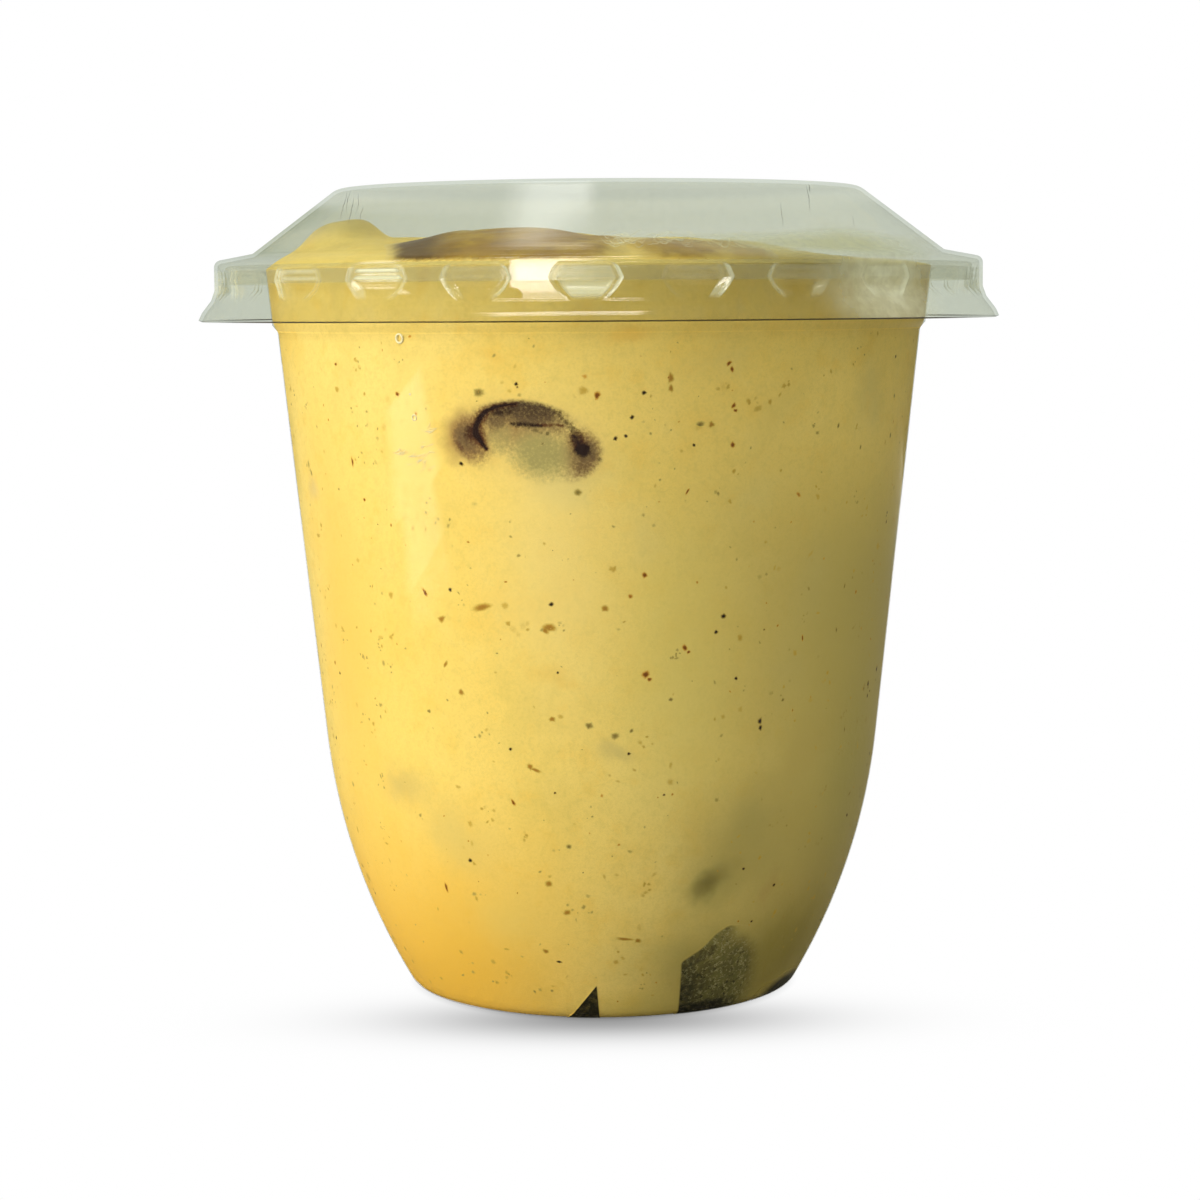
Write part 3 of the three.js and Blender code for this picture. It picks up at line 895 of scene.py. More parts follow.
# Soft ovals in the layers: layer, strength, x, y, half width, half height, and lean and core where needed
FRUIT_OVALS = [
    ("black", 1.60, 6.85, -0.7, 1.35, 1.2, 0, 0.2),
    ("black", 0.85, 6.2, 0.45, 1.0, 1.5, 28),
    ("black", 0.66, -2.6, 4.1, 3.4, 1.1, 10),
    ("black", 0.42, 0.6, 3.9, 4.4, 1.3, -4),
    ("black", 0.50, -6.7, 1.4, 1.5, 1.3, 20),
    ("black", 0.80, 4.3, 3.85, 0.38, 0.38),
    ("black", 0.65, 2.7, 1.25, 0.30, 0.30),
    ("black", 0.50, 2.1, 0.0, 0.30, 0.26),
    ("black", 0.75, 8.9, -1.9, 0.5, 0.35, -38),
    ("red", 0.85, 6.3, 0.4, 1.5, 1.9, 25),
    ("band", 1.00, 0.6, 3.6, 5.4, 2.2, -6, 0.4),
    ("band", 0.85, -3.4, 3.2, 2.8, 2.0, 30),
    ("band", 0.55, 3.6, 2.7, 2.8, 1.8, -30),
    ("band", 0.80, -7.5, 0.7, 2.9, 2.8, -30),
    ("band", 0.40, -6.5, -0.6, 2.4, 1.8, -20),
    ("band", 0.85, 7.2, -0.9, 2.5, 2.3, -30),
    ("band", 0.60, 6.9, -2.5, 1.9, 1.9),
    ("haze", 0.90, -7.0, 0.6, 4.4, 4.6),
    ("haze", 0.90, 6.8, -1.4, 4.2, 4.6),
    ("haze", 0.765, -1.0, 2.4, 9.0, 4.4),
    ("flesh", 0.95, 1.8, -1.2, 5.4, 4.2, -10),
    ("flesh", 0.55, -3.0, 0.6, 2.6, 2.8),
]


def fruit_material():
    material, nodes, place = new_material("dark_fruit")
    colour = cream_colour(nodes, place)
    for share, tint in zip(rough_shares(nodes, place, FRUIT_LAYERS, 2600.0, 1.5), FRUIT_LAYERS.values()):
        colour = nodes.mix(share, colour, tint)
    soft_surface(nodes, colour, 0.4, nodes.noise(place, 1500.0, 4.0, 0.7), 0.15)
    return material


def build_fruit():
    reach_of = oval_reach(FRUIT_HALF_WIDTH, FRUIT_HALF_HEIGHT, math.radians(FRUIT_TILT))
    place = (FRUIT_BEARING, FRUIT_Z, reach_of, FRUIT_DEPTH)
    fruit, u, v, edge = wall_patch("fruit_half", *place, fruit_material(), columns=360, rings=90)
    layers = {name: np.zeros(len(u)) for name in FRUIT_LAYERS}
    for name, strength, width, soft, points in FRUIT_LINES:
        layers[name] = np.maximum(layers[name], strength * near_line(u, v, points, width, soft))
    for name, strength, *oval in FRUIT_OVALS:
        layers[name] = np.maximum(layers[name], strength * blob(u, v, *oval))
    for name, values in layers.items():
        add_values(fruit, name, values * (1 - smooth(0.86, 1.0, edge)))


JELLY_DARK = (0.010, 0.009, 0.002)
JELLY_GREY = (0.135, 0.118, 0.030)
JELLY_OLIVE = (0.205, 0.182, 0.048)
JELLY_PALE = (0.60, 0.55, 0.27)


def jelly_material(name, grains):
    """Dark jelly with pale squiggles, which fades into the filling where its vertex number falls to 0."""
    material, nodes, place = new_material(name)
    solid, dark = rough_shares(nodes, place, ("solid", "dark"), 1300.0, 0.5)
    body = nodes.mix(nodes.ramp(nodes.noise(place, 420.0, 3.0, 0.6), 0.35, 0.65), JELLY_GREY, JELLY_OLIVE)
    winding = nodes.math("ABSOLUTE", nodes.math("SUBTRACT", nodes.noise(place, 1500.0, 4.0, 0.7), 0.5))
    broken = nodes.ramp(nodes.noise(place, 1900.0), 0.45, 0.65)
    squiggles = nodes.times(nodes.ramp(winding, 0.045, 0.0), broken, grains)
    pits = nodes.ramp(nodes.noise(place, 1500.0, 3.0, 0.7), 0.46, 0.30, 0.0, 0.85)
    body = nodes.mix(pits, body, JELLY_DARK)
    body = nodes.mix(dark, body, JELLY_DARK)
    keep = nodes.math("MULTIPLY_ADD", dark, -0.8, 1.0)
    body = nodes.mix(nodes.times(squiggles, keep), body, JELLY_PALE)
    colour = nodes.mix(solid, cream_colour(nodes, place), body)
    soft_surface(nodes, colour, 0.35, nodes.noise(place, 2000.0, 3.0, 0.7), 0.2)
    return material


def polygon_reach(corners, rounding):
    """How far a polygon round the origin goes in each direction, its corners a little rounded."""
    def reach_at(angle):
        direction = np.array([math.cos(angle), math.sin(angle)])
        nearest = math.inf
        for start, end in zip(corners, [*corners[1:], corners[0]]):
            side = np.subtract(end, start)
            span = cross(direction, side)
            if abs(span) < TINY:
                continue
            distance = cross(start, side) / span
            share = cross(start, direction) / span
            if distance > 0 and -TINY <= share <= 1 + TINY:
                nearest = min(nearest, distance)
        return nearest

    def reach_of(angle):
        return float(np.mean([reach_at(angle + step * rounding) for step in (-1, -0.5, 0, 0.5, 1)]))

    return reach_of


def to_wall(bearing, z, points):
    """Bearings and heights of points, as millimetres across and up the wall from one place.

    A height under 0 counts as a distance in from the edge of the underside.
    """
    middle = skin_at(z)
    moved = []
    for point_bearing, point_z in points:
        run = skin_at(point_z) if point_z > 0 else SKIN_ALONG[1] + point_z
        moved.append((math.radians(point_bearing - bearing) * float(skin_point(run)[0]), run - middle))
    return moved


def finish_jelly(piece, solid, dark):
    add_values(piece, "solid", solid)
    add_values(piece, "dark", np.clip(dark, 0, 1))


def build_jelly_block():
    """The large piece: crisp at its left and its foot, and fading to the right."""
    bearing, z = 32.0, 5.2
    reach_of = polygon_reach(to_wall(bearing, z, [
        (21.6, -1.5), (20.6, 3.0), (19.2, 7.9), (24.1, 9.6), (27.2, 11.5), (30.5, 12.5), (37.0, 11.8),
        (43.5, 9.0), (48.0, 4.0), (51.0, -1.5),
    ]), 0.05)
    shape = (bearing, z, reach_of, 6.5, jelly_material("jelly_grainy", 0.9))
    block, u, v, edge = wall_patch("jelly_block", *shape, columns=240, rings=70)
    crisp = 1 - smooth(0.95, 1.0, edge)
    soft = 1 - smooth(0.55, 0.98, edge)
    left = np.maximum(smooth(1.5, -1.5, u), smooth(5.0, 2.0, u) * smooth(-2.0, -3.6, v))
    faded = (1 - 0.55 * smooth(1.5, 8.0, u)) * (1 - 0.15 * smooth(-1, 6, v))
    darks = [
        0.85 * smooth(-0.5, -5.2, u) * smooth(4.5, -2.0, v),
        smooth(4.5, 0.5, u) * smooth(-3.0, -4.4, v),
        0.60 * near_line(u, v, [(-5.6, 2.4), (-2.8, 4.3)], 0.3, 1.1),
        0.70 * smooth(-4.2, -5.7, u),
    ]
    finish_jelly(block, (crisp * left + soft * (1 - left)) * faded, np.maximum.reduce(darks))


def build_jelly_wedge():
    bearing, z = -4.2, 1.9
    corners = to_wall(bearing, z, [(-12.2, -1.5), (-10.8, 0.15), (-1.6, 5.2), (-0.9, 0.2), (-1.0, -1.5)])
    shape = (bearing, z, polygon_reach(corners, 0.02), 4.5, jelly_material("jelly_plain", 0.25))
    wedge, u, _, edge = wall_patch("jelly_wedge", *shape, columns=200, rings=40)
    finish_jelly(wedge, 1 - smooth(0.90, 1.0, edge), 0.86 + 0.14 * smooth(-3.4, -1.4, u))


def build_jelly_side():
    shape = (66.5, 0.9, oval_reach(7.6, 2.8), 3.5, jelly_material("jelly_deep", 0.3))
    side, u, _, edge = wall_patch("jelly_side", *shape, columns=160, rings=36)
    finish_jelly(side, 1 - smooth(0.45, 0.98, edge), np.full(len(u), 0.92))


# ---- specks in the filling
SPECK_SIDES = 9
# The rings of a speck from its middle out: share of its size, height over the skin and strength
SPECK_RINGS = [(0.35, 0.014, 0.95), (0.70, 0.012, 0.75), (1.15, 0.009, 0.28), (1.7, 0.004, 0.0)]
SPECK_SUNK = 0.15
SPECK_SHARP_DEG = 30
LOWEST_SPECK_Z = 2.5
HIGHEST_SPECK_Z = 86.0
# How many more specks a clump has on average, how far they lie round and up from its middle, and their limits
CLUMP_MORE = 2.2
CLUMP_TURN = 0.9
CLUMP_RISE = 0.55
CLUMP_Z = (1.0, 87.0)
FRONT_TURN = 62.0           # the larger specks within this turn of the front are placed one by one


class SpeckMesh:
    """Gathers many small soft-edged specks that lie in the filling's skin."""

    def __init__(self, seed):
        self.random = np.random.default_rng(seed)
        self.places = []
        self.faces = []
        self.strengths = []

    def speck(self, bearing, z, half_length, half_width, lean, strength):
        """An uneven speck, with its long side leaning from level."""
        angle = np.linspace(0, 2 * np.pi, SPECK_SIDES, endpoint=False) + self.random.uniform(0, 0.6)
        uneven = self.random.uniform(0.7, 1.2, SPECK_SIDES)
        a = np.cos(angle) * half_length * uneven
        b = np.sin(angle) * half_width * uneven
        c, s = math.cos(lean), math.sin(lean)
        u = a * c - b * s
        v = a * s + b * c
        middle = skin_at(z)
        first = len(self.places)
        rings = [(0.0, SPECK_RINGS[0][1], 1.0), *SPECK_RINGS, (0.0, -SPECK_SUNK, 0.0)]
        layers = []
        for share, rise, solid in rings:
            across, up = (u * share, v * share) if share else (np.zeros(1), np.zeros(1))
            layers.append(beside(bearing, middle, across, up, SPECK_LOWEST, FILL_INSET - rise))
            self.strengths += [solid * strength] * len(across)
        places, faces = skin_of(layers)
        self.places += places.tolist()
        self.faces += [tuple(first + end for end in face) for face in faces]

    def scatter(self, count, half_length, spread, slender, strength, clump=0.0, clear_of_front=False):
        """Specks all round, sized around half_length, some of them in loose clumps."""
        front = FRONT_TURN if clear_of_front else 0.0
        for _ in range(count):
            run = self.random.uniform(skin_at(LOWEST_SPECK_Z), skin_at(HIGHEST_SPECK_Z))
            z = float(skin_point(run)[1])
            bearing = self.random.uniform(front, 360 - front)
            members = 1 + (self.random.poisson(CLUMP_MORE) if self.random.random() < clump else 0)
            for _ in range(members):
                size = half_length * math.exp(self.random.normal(0, spread))
                around = bearing + self.random.normal(0, CLUMP_TURN) * (members > 1)
                height = float(np.clip(z + self.random.normal(0, CLUMP_RISE) * (members > 1), *CLUMP_Z))
                width = size * self.random.uniform(*slender)
                lean = self.random.uniform(0, math.pi)
                self.speck(around, height, size, width, lean, self.random.uniform(*strength))

    def build(self, name, material):
        piece = make_mesh(name, np.array(self.places), self.faces, material, sharp_deg=SPECK_SHARP_DEG)
        add_values(piece, "strength", self.strengths)


# The specks that stand out most: bearing, z, half length, half width and lean in degrees
BLACK_SPECKS = [
    (-24.4, 70.7, 0.27, 0.25, 0), (7.4, 79.1, 0.26, 0.24, 0), (5.4, 76.2, 0.22, 0.2, 0),
    (2.6, 73.7, 0.24, 0.22, 30), (4.4, 74.0, 0.19, 0.17, 0), (16.1, 72.8, 0.17, 0.16, 0),
    (-28.2, 55.3, 0.22, 0.2, 0), (-8.9, 53.8, 0.25, 0.23, 0), (22.8, 52.0, 0.28, 0.26, 0),
    (21.4, 50.1, 0.22, 0.22, 0), (25.9, 44.2, 0.2, 0.2, 0), (-17.7, 35.9, 0.18, 0.17, 0),
    (5.1, 35.5, 0.2, 0.18, 0), (31.8, 38.6, 0.36, 0.26, 70), (32.0, 37.8, 0.3, 0.22, 110),
    (-28.7, 21.3, 0.27, 0.25, 0), (-9.2, 30.6, 0.14, 0.13, 0), (-10.8, 8.3, 0.3, 0.18, 0),
    (31.3, 19.8, 0.2, 0.18, 0), (-13.8, 80.2, 0.2, 0.18, 0), (-8.0, 45.5, 0.14, 0.13, 0),
    (36.8, 12.4, 0.16, 0.14, 0), (41.0, 17.0, 0.22, 0.18, 40), (12.1, 30.2, 0.14, 0.13, 0),
]
RUST_SPECKS = [
    (-0.4, 78.8, 0.36, 0.32, 60), (-36.4, 78.9, 0.26, 0.24, 0), (-49.3, 70.4, 0.5, 0.16, 95),
    (21.8, 82.4, 0.34, 0.2, 40), (22.4, 81.7, 0.3, 0.2, 100), (23.0, 77.4, 0.34, 0.22, 50),
    (23.4, 76.8, 0.22, 0.18, 0), (23.1, 72.7, 0.36, 0.26, 80), (7.8, 57.3, 0.28, 0.26, 0),
    (8.2, 45.2, 0.42, 0.34, 40), (8.9, 44.6, 0.25, 0.2, 0), (15.5, 48.3, 0.34, 0.24, 120),
    (16.2, 47.8, 0.22, 0.16, 30), (-33.7, 54.7, 0.5, 0.2, 125), (-17.7, 29.2, 0.48, 0.17, 118),
    (-36.5, 17.3, 0.52, 0.22, 95), (15.2, 67.3, 0.36, 0.12, 60), (-46.9, 65.8, 0.2, 0.18, 0),
    (-51.4, 82.4, 0.24, 0.2, 0), (40.9, 48.5, 0.32, 0.12, 100),
]
TAN_SPECKS = [
    (-21.9, 53.3, 1.1, 0.34, 14), (-9.4, 51.0, 0.85, 0.38, 6), (-30.5, 51.6, 0.5, 0.34, 20),
    (0.7, 53.3, 0.36, 0.32, 0), (-27.3, 42.7, 0.34, 0.3, 0), (-9.3, 39.8, 0.34, 0.3, 0),
    (-13.9, 33.8, 0.36, 0.28, 100), (-12.9, 33.4, 0.6, 0.2, 165), (-11.4, 18.9, 0.4, 0.36, 0),
    (-7.9, 15.1, 0.42, 0.38, 0), (-13.7, 9.7, 0.38, 0.3, 0), (19.1, 75.2, 0.34, 0.3, 0),
    (11.8, 80.8, 0.3, 0.62, 0), (11.9, 79.6, 0.26, 0.4, 0), (-10.2, 50.6, 0.5, 0.3, 150),
    (-30.4, 46.0, 0.4, 0.2, 60), (5.0, 11.5, 0.9, 0.2, 172), (8.0, 11.2, 0.36, 0.26, 0),
]
OLIVE_SPECKS = [
    (-20.5, 79.2, 0.56, 0.5, 0), (-20.8, 78.0, 0.22, 0.2, 0), (-6.3, 76.9, 0.36, 0.34, 0),
    (0.0, 71.3, 0.5, 0.3, 140), (-2.4, 39.0, 0.42, 0.36, 0), (2.5, 37.7, 0.4, 0.34, 0),
    (17.0, 75.2, 0.46, 0.4, 0), (-6.8, 23.8, 0.34, 0.3, 0), (52.1, 54.4, 0.3, 0.16, 80),
    (50.7, 49.0, 0.34, 0.16, 100), (57.2, 35.9, 0.34, 0.16, 90), (46.0, 74.5, 0.3, 0.16, 80),
    (53.2, 71.7, 0.26, 0.16, 90), (65.0, 72.8, 0.3, 0.2, 90), (65.0, 77.8, 0.26, 0.2, 90),
    (-3.8, 67.3, 0.42, 0.36, 0), (-10.5, 70.4, 0.36, 0.3, 0), (37.0, 41.0, 0.26, 0.18, 20),
    (5.6, 38.3, 0.26, 0.2, 70), (13.0, 42.0, 0.24, 0.2, 0), (-35.0, 40.0, 0.24, 0.2, 0),
]
# Each kind: colours at the core and the fringe, the placed ones and their strength, and the strewn ones, as
# count, size, spread, slenderness, strength, share in clumps, and whether the front is left clear
SPECK_KINDS = {
    "specks_black": ((0.006, 0.005, 0.001), (0.32, 0.20, 0.035), BLACK_SPECKS, 1.0, [
        (34, 0.20, 0.25, (0.7, 1.0), (0.7, 1.0), 0.1, True),
        (60, 0.08, 0.25, (0.7, 1.0), (0.3, 0.7)),
    ]),
    "specks_rust": ((0.21, 0.065, 0.005), (0.66, 0.34, 0.040), RUST_SPECKS, 1.0, [
        (36, 0.28, 0.3, (0.4, 0.9), (0.5, 0.9), 0.2, True),
        (190, 0.16, 0.35, (0.5, 1.0), (0.3, 0.75)),
    ]),
    "specks_tan": ((0.40, 0.20, 0.022), (0.62, 0.41, 0.065), TAN_SPECKS, 0.95, [
        (34, 0.42, 0.35, (0.4, 0.9), (0.4, 0.8), 0.2, True),
        (480, 0.27, 0.35, (0.4, 1.0), (0.15, 0.55), 0.25),
    ]),
    "specks_olive": ((0.20, 0.145, 0.026), (0.50, 0.37, 0.085), OLIVE_SPECKS, 0.80, [
        (40, 0.34, 0.3, (0.5, 1.0), (0.3, 0.7), 0.1, True),
        (560, 0.17, 0.35, (0.5, 1.0), (0.2, 0.6), 0.3),
    ]),
}
FIRST_SPECK_SEED = 12


def speck_material(name, core, fringe):
    """A speck's colours, fading into the filling's where its strength falls."""
    material, nodes, place = new_material(name)
    strength = rough_shares(nodes, place, ("strength",), 4500.0, 0.5)[0]
    colour = nodes.mix(nodes.ramp(strength, 0.0, 0.45), cream_colour(nodes, place), fringe)
    soft_surface(nodes, nodes.mix(nodes.ramp(strength, 0.35, 0.9), colour, core), 0.5)
    return material


def build_specks():
    for seed, (name, kind) in enumerate(SPECK_KINDS.items(), FIRST_SPECK_SEED):
        core, fringe, placed, strength, strewn = kind
        mesh = SpeckMesh(seed)
        for bearing, z, half_length, half_width, lean in placed:
            mesh.speck(bearing, z, half_length, half_width, math.radians(lean), strength)
        for amounts in strewn:
            mesh.scatter(*amounts)
        mesh.build(name, speck_material(name, core, fringe))


# ---- brown sauce on top
SAUCE_STEP = 0.45
SAUCE_X = (-28.0, 24.0)
SAUCE_Y = (-43.0, -4.0)
SAUCE_THICKNESS = 0.35
SAUCE_EDGE_SUNK = 0.03      # how far the sheet's thin edge lies under the filling's top
SAUCE_LEAST = 0.12          # the sheet's thickness at its edge
# Pools of sauce: x, y, half width, half depth and strength
SAUCE_POOLS = [
    (-9.0, -35.0, 17.0, 15.5, 1.0), (-20.5, -34.0, 7.0, 19.0, 1.0), (9.0, -35.0, 9.0, 11.0, 0.7),
    (17.0, -33.0, 7.0, 9.0, 0.55),
]


def sauce_material():
    """Brown sauce that fades into the filling where its vertex number falls to 0."""
    material, nodes, place = new_material("sauce")
    sauce, dark = rough_shares(nodes, place, ("sauce", "dark"), 420.0, 0.5)
    streak = nodes.noise(place, 200.0, 4.0, 0.65)
    colour = nodes.mix(nodes.ramp(streak, 0.35, 0.7), (0.36, 0.195, 0.008), (0.52, 0.325, 0.020))
    patchy = nodes.ramp(nodes.noise(place, 320.0, 4.0), 0.55, 0.75, 0.0, 0.6)
    colour = nodes.mix(patchy, colour, (0.20, 0.11, 0.008))
    colour = nodes.mix(dark, colour, (0.13, 0.065, 0.004))
    colour = nodes.mix(nodes.ramp(sauce, 0.02, 0.75), cream_colour(nodes, place), colour)
    soft_surface(nodes, colour, 0.35, nodes.noise(place, 500.0, 3.0), shine=0.2)
    return material


def build_sauce(edge):
    """A thin closed sheet of sauce lying on the filling's top."""
    xs = np.arange(*SAUCE_X, SAUCE_STEP)
    ys = np.arange(*SAUCE_Y, SAUCE_STEP)
    x, y = np.meshgrid(xs, ys)
    cover = np.zeros(x.shape)
    ragged = 1.3 * np.sin(x * 0.21 + 1.4 * np.sin(y * 0.19)) * np.sin(y * 0.26 + 0.8)
    ragged += 0.25 * np.sin(x * 0.7 + y * 0.4 + 1.5 * np.sin(y * 0.5))
    for pool_x, pool_y, half_width, half_depth, strength in SAUCE_POOLS:
        away = np.hypot((x + ragged - pool_x) / half_width, (y + ragged - pool_y) / half_depth)
        cover = np.maximum(cover, strength * (1 - smooth(0.30, 1.0, away)))
    cover *= 1 - smooth(edge - 1.2, edge - 0.5, np.hypot(x, y))
    usable = cover > 0.0
    height = mound_height(x[usable], y[usable], edge)
    thickness = SAUCE_THICKNESS * smooth(0.0, 0.7, cover[usable])
    top = np.stack([x[usable], y[usable], height + thickness - SAUCE_EDGE_SUNK], 1)
    under = top.copy()
    under[:, 2] -= thickness + SAUCE_LEAST
    count = len(top)
    number = -np.ones(x.shape, int)
    number[usable] = np.arange(count)
    corners = (number[:-1, :-1], number[:-1, 1:], number[1:, 1:], number[1:, :-1])
    corners = np.stack(corners, -1).reshape(-1, 4)
    cells = [tuple(cell) for cell in corners[corners.min(1) >= 0].tolist()]
    faces = [*cells, *(tuple(end + count for end in reversed(cell)) for cell in cells)]
    edges = {(a, b) for cell in cells for a, b in zip(cell, cell[1:] + cell[:1])}
    faces += [(b, a, a + count, b + count) for a, b in sorted(edges) if (b, a) not in edges]
    sauce = make_mesh("sauce", np.concatenate([top, under]), faces, sauce_material(), sharp_deg=50)
    share = np.concatenate([cover[usable], np.zeros(count)])
    dark = np.tile(1 - smooth(-21.5, -15.5, x[usable]), 2)
    add_values(sauce, "sauce", share)
    add_values(sauce, "dark", dark * smooth(0.1, 0.5, share))


# ---- marks on the plastic
STRAND_SIDES = 5


class StrandMesh:
    """Gathers thin strands, each a tube along points."""

    def __init__(self):
        self.places = []
        self.faces = []

    def strand(self, points, radius, closed=False):
        points = np.asarray(points, float)
        if closed:
            ahead = np.roll(points, -1, 0) - np.roll(points, 1, 0)
        else:
            ahead = np.gradient(points, axis=0)
        ahead /= np.linalg.norm(ahead, axis=1)[:, None]
        outward = points * (1, 1, 0)
        outward /= np.maximum(np.linalg.norm(outward, axis=1), TINY)[:, None]
        side = np.cross(ahead, outward)
        side /= np.maximum(np.linalg.norm(side, axis=1), TINY)[:, None]
        up = np.cross(side, ahead)
        count = len(points)
        thin = np.ones(count) if closed else np.sin(np.linspace(0.25, math.pi - 0.25, count))
        first = len(self.places)
        for k in range(STRAND_SIDES):
            angle = 2 * math.pi * k / STRAND_SIDES
            spoke = (side * math.cos(angle) + up * math.sin(angle)) * (radius * thin)[:, None]
            self.places += (points + spoke).tolist()
        starts = [first + k * count for k in range(STRAND_SIDES)]
        for a, b in zip(starts, [*starts[1:], starts[0]]):
            for i in range(count if closed else count - 1):
                j = (i + 1) % count
                self.faces.append((a + i, a + j, b + j, b + i))
        if not closed:
            self.faces.append(tuple(reversed(starts)))
            self.faces.append(tuple(start + count - 1 for start in starts))

    def build(self, name, material):
        return make_mesh(name, np.array(self.places), self.faces, material)


def dome_radius(z):
    share = (np.asarray(z, float) - DOME_FOOT_Z) / (LID_TOP_Z - DOME_FOOT_Z)
    return DOME_FOOT_RADIUS + (LID_TOP_EDGE_RADIUS - DOME_FOOT_RADIUS) * share


def on_dome(bearing, z, inset):
    """Places on the dome's slope at bearings and heights, inset inward of its skin."""
    rise = LID_TOP_Z - DOME_FOOT_Z
    run = DOME_FOOT_RADIUS - LID_TOP_EDGE_RADIUS
    slope = math.hypot(rise, run)
    return at_bearing(bearing, dome_radius(z) - inset * rise / slope, z - inset * run / slope)


# Bubbles against the wall, drawn as pale rings that paint the glints on their rims: bearing, z, radius and
# thickness
BUBBLES = [(-34.9, 85.6, 0.48, 0.17), (-33.1, 76.1, 0.30, 0.07), (-33.6, 78.9, 0.10, 0.05)]
# Scratches on the cup, drawn as pale strands that paint their glints: bearing, z, how many and how widely
# strewn
SCRATCHES = [(-30.0, 74.7, 7, 0.5), (-36.3, 71.9, 9, 0.7), (-32.6, 71.0, 16, 1.3), (-31.2, 72.8, 6, 0.7)]
# Fine drawn lines on the dome, upright as seen from the front: x, lowest z, highest z and radius
DRAWN_LINES = [
    (-31.6, 100.2, 103.6, 0.035), (-31.1, 101.0, 103.8, 0.03), (-30.4, 99.6, 102.8, 0.035),
    (-29.6, 100.8, 103.4, 0.025), (-28.9, 99.9, 101.6, 0.025), (21.9, 98.4, 101.6, 0.03),
    (25.6, 100.4, 103.9, 0.035), (25.9, 102.9, 104.0, 0.05), (31.0, 98.5, 100.2, 0.02),
]
FROST_TOP_Z = 98.5
FROST_RADIUS = 43.0
MARK_SEED = 31
# Frost on the dome's foot: bearing, z, half turn, half height and how many strands
FROST = [
    (3.0, 97.5, 3.6, 0.7, 34), (11.5, 97.5, 5.5, 0.6, 36), (21.0, 97.3, 6.0, 0.6, 26),
    (31.0, 97.0, 7.0, 0.5, 18), (150.0, 97.4, 26.0, 0.7, 40), (-120.0, 97.3, 18.0, 0.6, 24),
]


def build_wall_marks(random):
    """Bubbles and scratches on the cup, drawn as pale rings and strands that paint their glints."""
    glint_marks = StrandMesh()
    turn = np.linspace(0, 2 * np.pi, 20, endpoint=False)
    for bearing, z, radius, thickness in BUBBLES:
        reach = skin_at(z) + np.sin(turn) * radius * 1.1
        around = bearing + np.degrees(np.cos(turn) * radius / wall_radius(z))
        glint_marks.strand(on_wall(around, reach, 0.02), thickness, True)
    for bearing, z, count, strewn in SCRATCHES:
        for _ in range(count):
            t = np.linspace(-1, 1, 6)
            length = random.uniform(0.2, 0.8)
            lean = math.radians(random.normal(24, 22))
            u = random.normal(0, strewn) + t * length * math.cos(lean)
            v = random.normal(0, strewn * 0.5) + t * length * math.sin(lean) + random.normal(0, 0.06, 6)
            around = bearing + np.degrees(u / wall_radius(z))
            glint_marks.strand(on_wall(around, skin_at(z) + v, 0.0), random.uniform(0.02, 0.05))
    # Painted highlights: pale cream-white, as the light glints on the bubbles and scratches
    colours = ((0.9, 0.855, 0.558), (1.0, 0.95, 0.62))
    glint_marks.build("bubble_and_scratch_glints", plain_material("painted_glints", *colours, roughness=0.25, alpha=0.75))


def build_frost(random):
    """Fine bent strands of frost inside the dome, close to its foot."""
    frost = StrandMesh()
    for bearing, z, half_turn, half_height, count in FROST:
        for _ in range(count):
            t = np.linspace(-1, 1, 10)
            length = random.uniform(0.25, 1.1)
            lean = random.uniform(-0.9, 0.9)
            u = t * length * math.cos(lean)
            v = t * length * math.sin(lean) * 0.5 + random.normal(0, 0.35) * (1 - t * t)
            v += random.normal(0, 0.05, 10)
            at = bearing + random.normal(0, 0.5) * half_turn
            heights = np.clip(z + random.normal(0, 0.5) * half_height + v, DOME_FOOT_Z + 0.2, FROST_TOP_Z)
            points = on_dome(at + np.degrees(u / FROST_RADIUS), heights, LID_WALL)
            frost.strand(points, random.uniform(0.02, 0.045))
    colours = ((0.9, 0.882, 0.648), (1.0, 0.98, 0.72))
    frost.build("frost_lines", plain_material("frost", *colours, roughness=0.6, alpha=0.45))


def build_drawn_lines(random):
    """Fine dark lines on the outside of the dome."""
    drawn = StrandMesh()
    for x, low, high, radius in DRAWN_LINES:
        z = np.linspace(low, high, 24)
        wander = np.cumsum(random.normal(0, 0.03, 24))
        bearing = np.degrees(np.arcsin((x + wander) / dome_radius(z)))
        drawn.strand(on_dome(bearing, z, 0.02), radius)
    colours = ((0.128, 0.136, 0.104), (0.16, 0.17, 0.13))
    drawn.build("lid_drawn_lines", plain_material("drawn_lines", *colours, roughness=0.5, alpha=0.5))


# ---- build everything

cream = cream_material()
build_cup()
build_lid()
fill_edge = build_filling(cream)
build_fruit()
build_jelly_block()
build_jelly_wedge()
build_jelly_side()
build_specks()
build_sauce(fill_edge)
mark_random = np.random.default_rng(MARK_SEED)
build_wall_marks(mark_random)
build_frost(mark_random)
build_drawn_lines(mark_random)


# ---- stage, lights and camera

def add_light(name, place, aim, size, power, seen_by, colour=(1, 1, 1), soft=None, turn=None):
    """A soft light in millimetres, seen only by diffuse or glossy rays. soft fades its sides.

    turn is its rotation in degrees, for a light that faces straight up or down.
    """
    data = bpy.data.lights.new(name, "AREA")
    data.shape = "RECTANGLE"
    data.size, data.size_y = (side * MM for side in size)
    data.energy = power
    data.color = colour
    light = bpy.data.objects.new(name, data)
    light.location = Vector(place) * MM
    if turn is None:
        light.rotation_euler = ((Vector(aim) - Vector(place)) * MM).to_track_quat("-Z", "Y").to_euler()
    else:
        light.rotation_euler = [math.radians(angle) for angle in turn]
    light.visible_camera = False
    light.visible_diffuse = seen_by == "diffuse"
    light.visible_glossy = seen_by == "glossy"
    light.visible_transmission = False
    if soft is not None:
        fade_sides(data, soft)
    bpy.context.scene.collection.objects.link(light)


